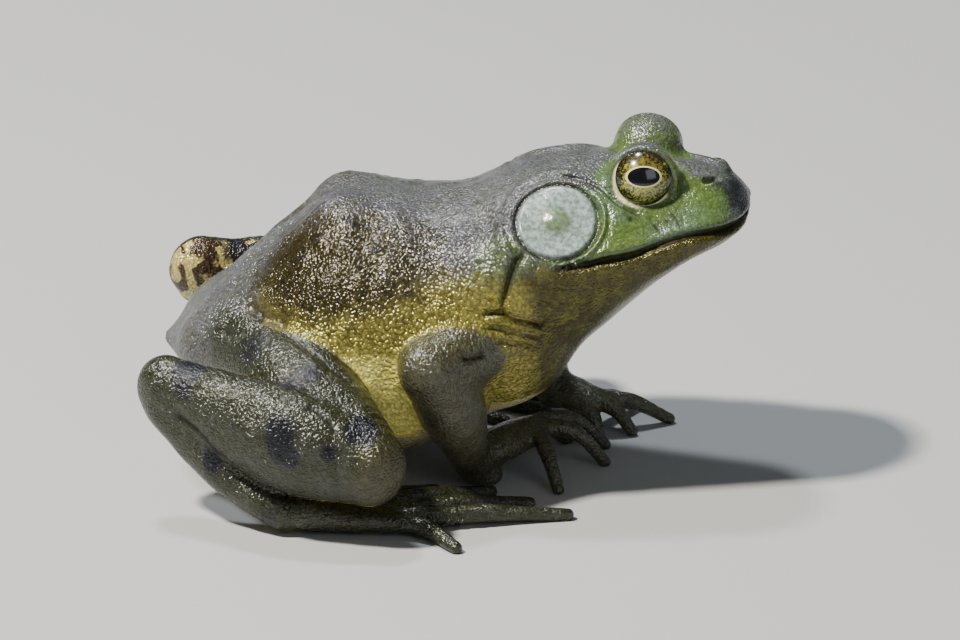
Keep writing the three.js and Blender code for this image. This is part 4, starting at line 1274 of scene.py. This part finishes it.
@dataclass(frozen=True)
class SkinFinish:
    """Wet frog skin: grey-olive above, green on the head, brown and gold on the flanks, yellow below."""

    olive: Colour = linear(72, 74, 50)
    grey: Colour = linear(94, 97, 98)
    violet: Colour = linear(86, 86, 92)
    leg: Colour = linear(46, 48, 24)
    leg_grey: Colour = linear(60, 63, 52)
    green: Colour = linear(84, 104, 46)
    blue_green: Colour = linear(86, 110, 78)
    # Olive-yellow of the jaw and throat, made darker partly as painted shade under the head.
    jaw: Colour = linear(74, 66, 2)
    lip: Colour = linear(104, 104, 16)
    gold: Colour = linear(146, 138, 56)
    brown: Colour = linear(56, 47, 8)
    yellow: Colour = linear(250, 240, 130)
    belly: Colour = linear(206, 196, 150)
    arm: Colour = linear(64, 58, 34)
    knee: Colour = linear(72, 68, 34)
    spot: Colour = linear(26, 28, 40)
    lid: Colour = linear(228, 228, 172)
    marble_light: Colour = linear(206, 192, 116)
    marble_dark: Colour = linear(66, 46, 22)
    drum: Colour = linear(158, 172, 168)
    drum_shade: Colour = linear(120, 134, 124)
    hub: Colour = linear(92, 112, 66)
    # Colour of the painted shade in the grooves and nostrils and in the sunk ring round each eardrum.
    dark: Colour = linear(24, 22, 16)
    roughness: float = 0.2
    # How metallic each part is made. Skin is not metal: this only keeps a pale floor's reflection from
    # washing out the dark colours.
    sheen: float = 0.45
    leg_sheen: float = 0.28
    spot_sheen: float = 0.6
    # In the grooves and nostrils the metal also darkens the reflection, as painted shade.
    groove_shade_metal: float = 0.9

    def make(self, granules: bpy.types.NodeTree) -> bpy.types.Material:
        """Makes the material.

        Args:
            granules: The group that makes the skin's grain.

        Returns:
            The skin's material.
        """
        material = bpy.data.materials.new("wet_frog_skin")
        material.use_nodes = True
        material.node_tree.nodes.clear()
        sheet = NodeSheet(material.node_tree)
        place_on = sheet.add("ShaderNodeTexCoord").outputs["Object"]
        pebbles = sheet.add("ShaderNodeGroup", node_tree=granules)
        pebbles.inputs["Size"].default_value = 0.0009
        grains = sheet.add("ShaderNodeGroup", node_tree=granules)
        grains.inputs["Size"].default_value = 0.00068
        clouds = sheet.noise(place_on, 55.0, 4.0)
        mottle = sheet.noise(place_on, 260.0, 4.0, 0.65, 0.6)
        wrinkle = sheet.noise(place_on, 620.0, 2.0, 0.5, 1.6)
        specks = sheet.noise(place_on, 900.0, 2.0, 0.6)
        colour = self.colour(sheet, place_on, clouds, mottle, specks)
        pebble = sheet.layer("pebble")
        drum = sheet.layer("drum")
        bare = sheet.math("SUBTRACT", 1.0, drum)
        # Painted shade in the crevices between granules, lighter on the yellow and none on the eardrum.
        crevice_shade = sheet.blend(pebble, sheet.math("MULTIPLY", grains.outputs["Crevice_shade"], 0.4),
                              sheet.math("MULTIPLY", pebbles.outputs["Crevice_shade"], 0.75))
        crevice_shade = sheet.math("MULTIPLY", crevice_shade, sheet.blend(sheet.layer("yellow"), 1.0, 0.5))
        colour = sheet.mix(sheet.math("MULTIPLY", crevice_shade, bare), colour,
                           sheet.mix(1.0, colour, (0.42, 0.38, 0.3, 1.0), "MULTIPLY"))
        tone = sheet.math("ADD", 0.82, sheet.math("MULTIPLY", sheet.blend(pebble, grains.outputs["Variation"],
                                                                          pebbles.outputs["Variation"]), 0.36))
        colour = sheet.mix(bare, colour, sheet.mix(1.0, colour, sheet.add(
            "ShaderNodeCombineColor", {0: tone, 1: tone, 2: tone}).outputs[0], "MULTIPLY"))
        # Painted shade in the grooves, along the mouth and in the nostrils.
        colour = sheet.mix(sheet.math("MULTIPLY", sheet.layer("crease_shade"), 0.85), colour, self.dark)
        tinted = sheet.math("MAXIMUM", sheet.layer("brown"), sheet.layer("gold"))
        tinted = sheet.math("MAXIMUM", sheet.layer("jaw"), tinted)
        tinted = sheet.math("MULTIPLY", tinted, sheet.blend(sheet.layer("yellow"), self.sheen, 0.0))
        tinted = sheet.math("MAXIMUM", tinted, sheet.math("MULTIPLY", sheet.layer("leg"), self.leg_sheen))
        tinted = sheet.math("MAXIMUM", tinted, sheet.math("MULTIPLY", sheet.layer("spot"), self.spot_sheen))
        tinted = sheet.math("MAXIMUM", tinted, sheet.math("MULTIPLY", sheet.layer("crease_shade"), self.groove_shade_metal))
        # Painted shade in the sunk ring round the eardrum.
        colour = sheet.mix(sheet.math("MULTIPLY", sheet.layer("ring_shade"), 0.8), colour, self.dark)
        height = sheet.blend(pebble, sheet.math("MULTIPLY", grains.outputs["Height"], 0.8),
                             pebbles.outputs["Height"])
        height = sheet.math("ADD", height, sheet.math("MULTIPLY", mottle, 0.8))
        height = sheet.math("ADD", height, sheet.math("MULTIPLY", wrinkle, 0.7))
        height = sheet.blend(sheet.math("MULTIPLY", sheet.layer("green"), 0.75), height,
                             sheet.math("MULTIPLY", mottle, 0.6))
        height = sheet.blend(drum, height, sheet.math("MULTIPLY", mottle, 0.6))
        height = sheet.blend(sheet.math("MULTIPLY", sheet.layer("brown"), 0.35), height, 0.5)
        crease_shade = sheet.layer("crease_shade")
        height = sheet.blend(crease_shade, height, 0.5)
        bump = sheet.add("ShaderNodeBump", {"Height": height, "Strength": 1.0, "Distance": 0.00032})
        rough = sheet.math("ADD", self.roughness - 0.05, sheet.math("MULTIPLY", specks, 0.1))
        rough = sheet.blend(crease_shade, rough, 0.6)
        shader = sheet.add("ShaderNodeBsdfPrincipled", {"Base Color": colour, "Roughness": rough, "Metallic": tinted,
                                                        "Normal": bump.outputs[0], "Specular IOR Level": 0.8})
        sheet.put(sheet.add("ShaderNodeOutputMaterial").inputs["Surface"], shader.outputs[0])
        return material

    def colour(self, sheet: NodeSheet, place_on: object, clouds: object, mottle: object,
               specks: object) -> bpy.types.NodeSocket:
        """Lays the skin's colours over each other.

        Args:
            sheet: The material's nodes.
            place_on: The place on the skin.
            clouds: A broad noise.
            mottle: A noise some millimetres wide.
            specks: A noise about a millimetre wide.

        Returns:
            The colour before grain and creases.
        """
        blots = sheet.noise(place_on, 150.0, 3.0, 0.5, 0.5)
        base = sheet.mix(sheet.ramp(clouds, 0.38, 0.62), self.grey, self.violet)
        base = sheet.mix(sheet.math("MULTIPLY", sheet.ramp(mottle, 0.42, 0.66), 0.55), base, self.olive)
        limb = sheet.mix(sheet.ramp(mottle, 0.4, 0.66), self.leg, self.leg_grey)
        base = sheet.mix(sheet.layer("leg"), base, limb)
        base = sheet.mix(sheet.layer("arm"), base, sheet.mix(sheet.ramp(mottle, 0.3, 0.7), self.arm, self.olive))
        green = sheet.mix(sheet.ramp(clouds, 0.4, 0.7), self.green, self.blue_green)
        base = sheet.mix(sheet.broken("green", mottle, 0.25, 0.35), base, green)
        # The jaw and throat: olive-yellow, darkened partly as painted shade.
        base = sheet.mix(sheet.broken("jaw", mottle, 0.3, 0.3), base,
                         sheet.mix(sheet.ramp(mottle, 0.42, 0.72), self.jaw, self.lip))
        base = sheet.mix(sheet.broken("gold", mottle, 0.4, 0.45), base, self.gold)
        base = sheet.mix(sheet.broken("brown", mottle, 0.5, 0.4), base, self.brown)
        base = sheet.mix(sheet.broken("yellow", mottle, 0.4, 0.4), base, self.yellow)
        base = sheet.mix(sheet.broken("belly", mottle, 0.2, 0.3), base, self.belly)
        base = sheet.mix(sheet.math("MULTIPLY", sheet.broken("knee", mottle, 0.3, 0.3), 0.7), base, self.knee)
        marble = sheet.mix(sheet.ramp(blots, 0.47, 0.52), self.marble_light, self.marble_dark)
        base = sheet.mix(sheet.broken("marble", mottle, 0.3, 0.2), base, marble)
        base = sheet.mix(sheet.math("MULTIPLY", sheet.broken("spot", mottle, 0.8, 0.26), 0.85), base, self.spot)
        base = sheet.mix(sheet.layer("lid"), base, self.lid)
        streaks = sheet.math("ADD", sheet.math("MULTIPLY", mottle, 0.35), sheet.math("MULTIPLY", specks, 0.65))
        drum = sheet.mix(sheet.ramp(streaks, 0.34, 0.62), self.drum_shade, self.drum)
        drum = sheet.mix(sheet.math("MULTIPLY", sheet.broken("hub", mottle, 0.6, 0.5), 0.8), drum, self.hub)
        base = sheet.mix(sheet.layer("drum"), base, drum)
        return sheet.mix(0.5, base, sheet.mix(sheet.ramp(specks, 0.3, 0.7), (0.6, 0.6, 0.6, 1), (1.3, 1.3, 1.3, 1)),
                         "MULTIPLY")


@dataclass(frozen=True)
class EyeFinish:
    """A gold iris flecked with black, round a flat oval pupil."""

    pupil: Tuple[float, float] = (3.9, 2.3)
    iris: float = 6.75
    gold: Colour = linear(172, 176, 52)
    bronze: Colour = linear(96, 84, 32)
    dark: Colour = linear(22, 18, 6)
    rim: Colour = linear(236, 228, 172)
    black: Colour = linear(5, 5, 6)
    lid: Colour = linear(96, 100, 56)

    def make(self, side: Side) -> bpy.types.Material:
        """Makes one eye's material.

        Args:
            side: The eye's side.

        Returns:
            The eye's material.
        """
        material = bpy.data.materials.new(f"eye_gloss_{side.name.lower()}")
        material.use_nodes = True
        material.node_tree.nodes.clear()
        sheet = NodeSheet(material.node_tree)
        along, up = sheet.layer("across"), sheet.layer("up")
        reach = self.length(sheet, along, up)
        wide, tall = self.pupil
        oval = self.length(sheet, sheet.math("DIVIDE", along, wide), sheet.math("DIVIDE", up, tall))
        place_on = sheet.add("ShaderNodeTexCoord").outputs["Object"]
        flecks = sheet.noise(place_on, 1500.0, 5.0, 0.75, 0.8)
        clouds = sheet.noise(place_on, 320.0, 2.0)
        outward = sheet.math("MULTIPLY", sheet.ramp(reach, 3.4, 6.8), 0.12)
        # The iris turns bronze and darker towards its top: partly its own colour, partly painted shade.
        gold = sheet.mix(sheet.ramp(sheet.math("ADD", clouds, sheet.math("MULTIPLY", up, 0.05)), 0.4, 0.8),
                         self.gold, self.bronze)
        colour = sheet.mix(sheet.ramp(sheet.math("SUBTRACT", flecks, outward), 0.4, 0.52), self.dark, gold)
        colour = sheet.mix(sheet.ramp(oval, 1.2, 1.12), colour, self.rim)
        colour = sheet.mix(sheet.ramp(oval, 1.05, 1.0), colour, self.black)
        colour = sheet.mix(sheet.ramp(reach, self.iris - 0.45, self.iris - 0.1), colour, self.black)
        outer = sheet.mix(sheet.ramp(sheet.math("SUBTRACT", up, along), 0.5, 2.5), self.rim, self.lid)
        colour = sheet.mix(sheet.ramp(reach, self.iris + 0.15, self.iris + 0.3), colour, outer)
        shader = sheet.add("ShaderNodeBsdfPrincipled", {"Base Color": colour, "Roughness": 0.2, "Coat Weight": 1.0,
                                                        "Coat Roughness": 0.02})
        sheet.put(sheet.add("ShaderNodeOutputMaterial").inputs["Surface"], shader.outputs[0])
        return material

    @staticmethod
    def length(sheet: NodeSheet, a: object, b: object) -> bpy.types.NodeSocket:
        """Returns the length of the vector whose parts are a and b."""
        return sheet.math("SQRT", sheet.math("ADD", sheet.math("MULTIPLY", a, a), sheet.math("MULTIPLY", b, b)))


@dataclass(frozen=True)
class Eye:
    """One eyeball, set in its socket."""

    side: Side
    head: Head
    around: int = 96
    down: int = 64

    def build(self) -> bpy.types.Object:
        """Makes the eyeball, with the pupil's two ways marked on it as attributes.

        Returns:
            The finished piece.
        """
        centre = (place(self.head.eye, self.side) - MODEL_ORIGIN) * MM
        axis = unit(place(self.head.eye_axis, self.side))
        bpy.ops.object.select_all(action="DESELECT")
        bpy.ops.mesh.primitive_uv_sphere_add(segments=self.around, ring_count=self.down,
                                             radius=self.head.eye_radius * MM, location=(0, 0, 0))
        piece = bpy.context.view_layer.objects.active
        piece.name = f"eyeball_{self.side.name.lower()}"
        piece.data.transform(Vector((0, 0, 1)).rotation_difference(Vector(axis)).to_matrix().to_4x4())
        flat = np.empty(len(piece.data.vertices) * 3, np.float32)
        piece.data.vertices.foreach_get("co", flat)
        points = flat.reshape(-1, 3).astype(float)
        across = unit(np.cross(axis, np.array([0.0, 0.0, 1.0]))) * -self.side.value
        upward = np.cross(axis, np.cross(np.array([0.0, 0.0, 1.0]), axis))
        behind = (points @ axis) < 0
        for name, way in (("across", across), ("up", unit(upward))):
            value = np.where(behind, 9.0, points @ way / MM)
            piece.data.attributes.new(name, "FLOAT", "POINT").data.foreach_set("value", value.astype(np.float32))
        piece.data.vertices.foreach_set("co", (points + centre).astype(np.float32).ravel())
        piece.data.update()
        bpy.ops.object.shade_smooth()
        return piece


# ---------------------------------------------------------------------------------------------------
# Studio
# ---------------------------------------------------------------------------------------------------


@dataclass(frozen=True)
class Studio:
    """A pale floor, soft lights and the camera."""

    azimuth: float = 4.0
    elevation: float = 20.0
    distance: float = 2.5
    frame_width_mm: float = 240.0
    # What the camera looks at, in the flesh's millimetres.
    aim: Point = (12.5, 0.0, 37.5)

    def back(self) -> np.ndarray:
        """Returns the way from the frog to the camera."""
        a, e = math.radians(self.azimuth), math.radians(self.elevation)
        return np.array([math.sin(a) * math.cos(e), -math.cos(a) * math.cos(e), math.sin(e)])

    def floor(self) -> bpy.types.Object:
        """Lays the floor and returns it."""
        bpy.ops.object.select_all(action="DESELECT")
        bpy.ops.mesh.primitive_plane_add(size=12.0, location=(0, 0, 0))
        piece = bpy.context.view_layer.objects.active
        piece.name = "studio_floor"
        material = bpy.data.materials.new("pale_floor")
        material.use_nodes = True
        shader = material.node_tree.nodes["Principled BSDF"]
        shader.inputs["Base Color"].default_value = (0.46, 0.46, 0.455, 1)
        shader.inputs["Roughness"].default_value = 0.7
        piece.data.materials.append(material)
        return piece

    def light(self, name: str, at: Point, power: float, size: float, colour: Tuple[float, float, float]) -> None:
        """Hangs one soft square lamp that faces the frog."""
        data = bpy.data.lights.new(name, "AREA")
        data.energy, data.size, data.color = power, size, colour
        lamp = bpy.data.objects.new(name, data)
        lamp.location = at
        lamp.rotation_euler = (Vector((0, 0, 0.04)) - Vector(at)).to_track_quat("-Z", "Y").to_euler()
        bpy.context.scene.collection.objects.link(lamp)

    def set_up(self) -> None:
        """Lights the room and places the camera."""
        world = bpy.data.worlds.new("soft_room")
        world.use_nodes = True
        world.node_tree.nodes["Background"].inputs["Color"].default_value = (0.78, 0.87, 1.0, 1)
        world.node_tree.nodes["Background"].inputs["Strength"].default_value = 0.13
        bpy.context.scene.world = world
        self.light("key", (-0.8, -0.4, 1.55), 66.0, 0.15, (1.0, 0.95, 0.87))
        self.light("top", (-0.35, 0.5, 1.6), 16.0, 0.17, (0.86, 0.93, 1.0))
        self.light("fill", (0.9, -1.3, 0.9), 4.0, 1.0, (0.9, 0.95, 1.0))
        aim = (np.array(self.aim) - MODEL_ORIGIN) * MM
        data = bpy.data.cameras.new("camera")
        data.sensor_width = 36.0
        data.lens = 36.0 * self.distance / (self.frame_width_mm * MM)
        data.clip_start, data.clip_end = 0.1, 50.0
        camera = bpy.data.objects.new("camera", data)
        back = self.back()
        camera.location = aim + back * self.distance
        camera.rotation_euler = Vector(-back).to_track_quat("-Z", "Y").to_euler()
        bpy.context.scene.collection.objects.link(camera)
        bpy.context.scene.camera = camera


def main() -> None:
    """Builds the frog and its studio, and reports each piece."""
    logging.basicConfig(level=logging.INFO, format="%(message)s")
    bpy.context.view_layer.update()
    flesh = Flesh()
    skin = Skin(flesh, 0.8, 190_000).build()
    skin.data.materials.append(SkinFinish().make(granule_group()))
    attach(skin, "root")
    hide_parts(*FLESH_NODES)
    LOG.info("%s: %d faces", skin.name, len(skin.data.polygons))
    for side in Side:
        ball = Eye(side, flesh.head).build()
        ball.data.materials.append(EyeFinish().make(side))
        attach(ball, "root")
        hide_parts(f"eye_{side.name.lower()}")
        LOG.info("%s: %d faces", ball.name, len(ball.data.polygons))
    studio = Studio()
    studio.floor()
    studio.set_up()


if __name__ == "__main__":
    main()
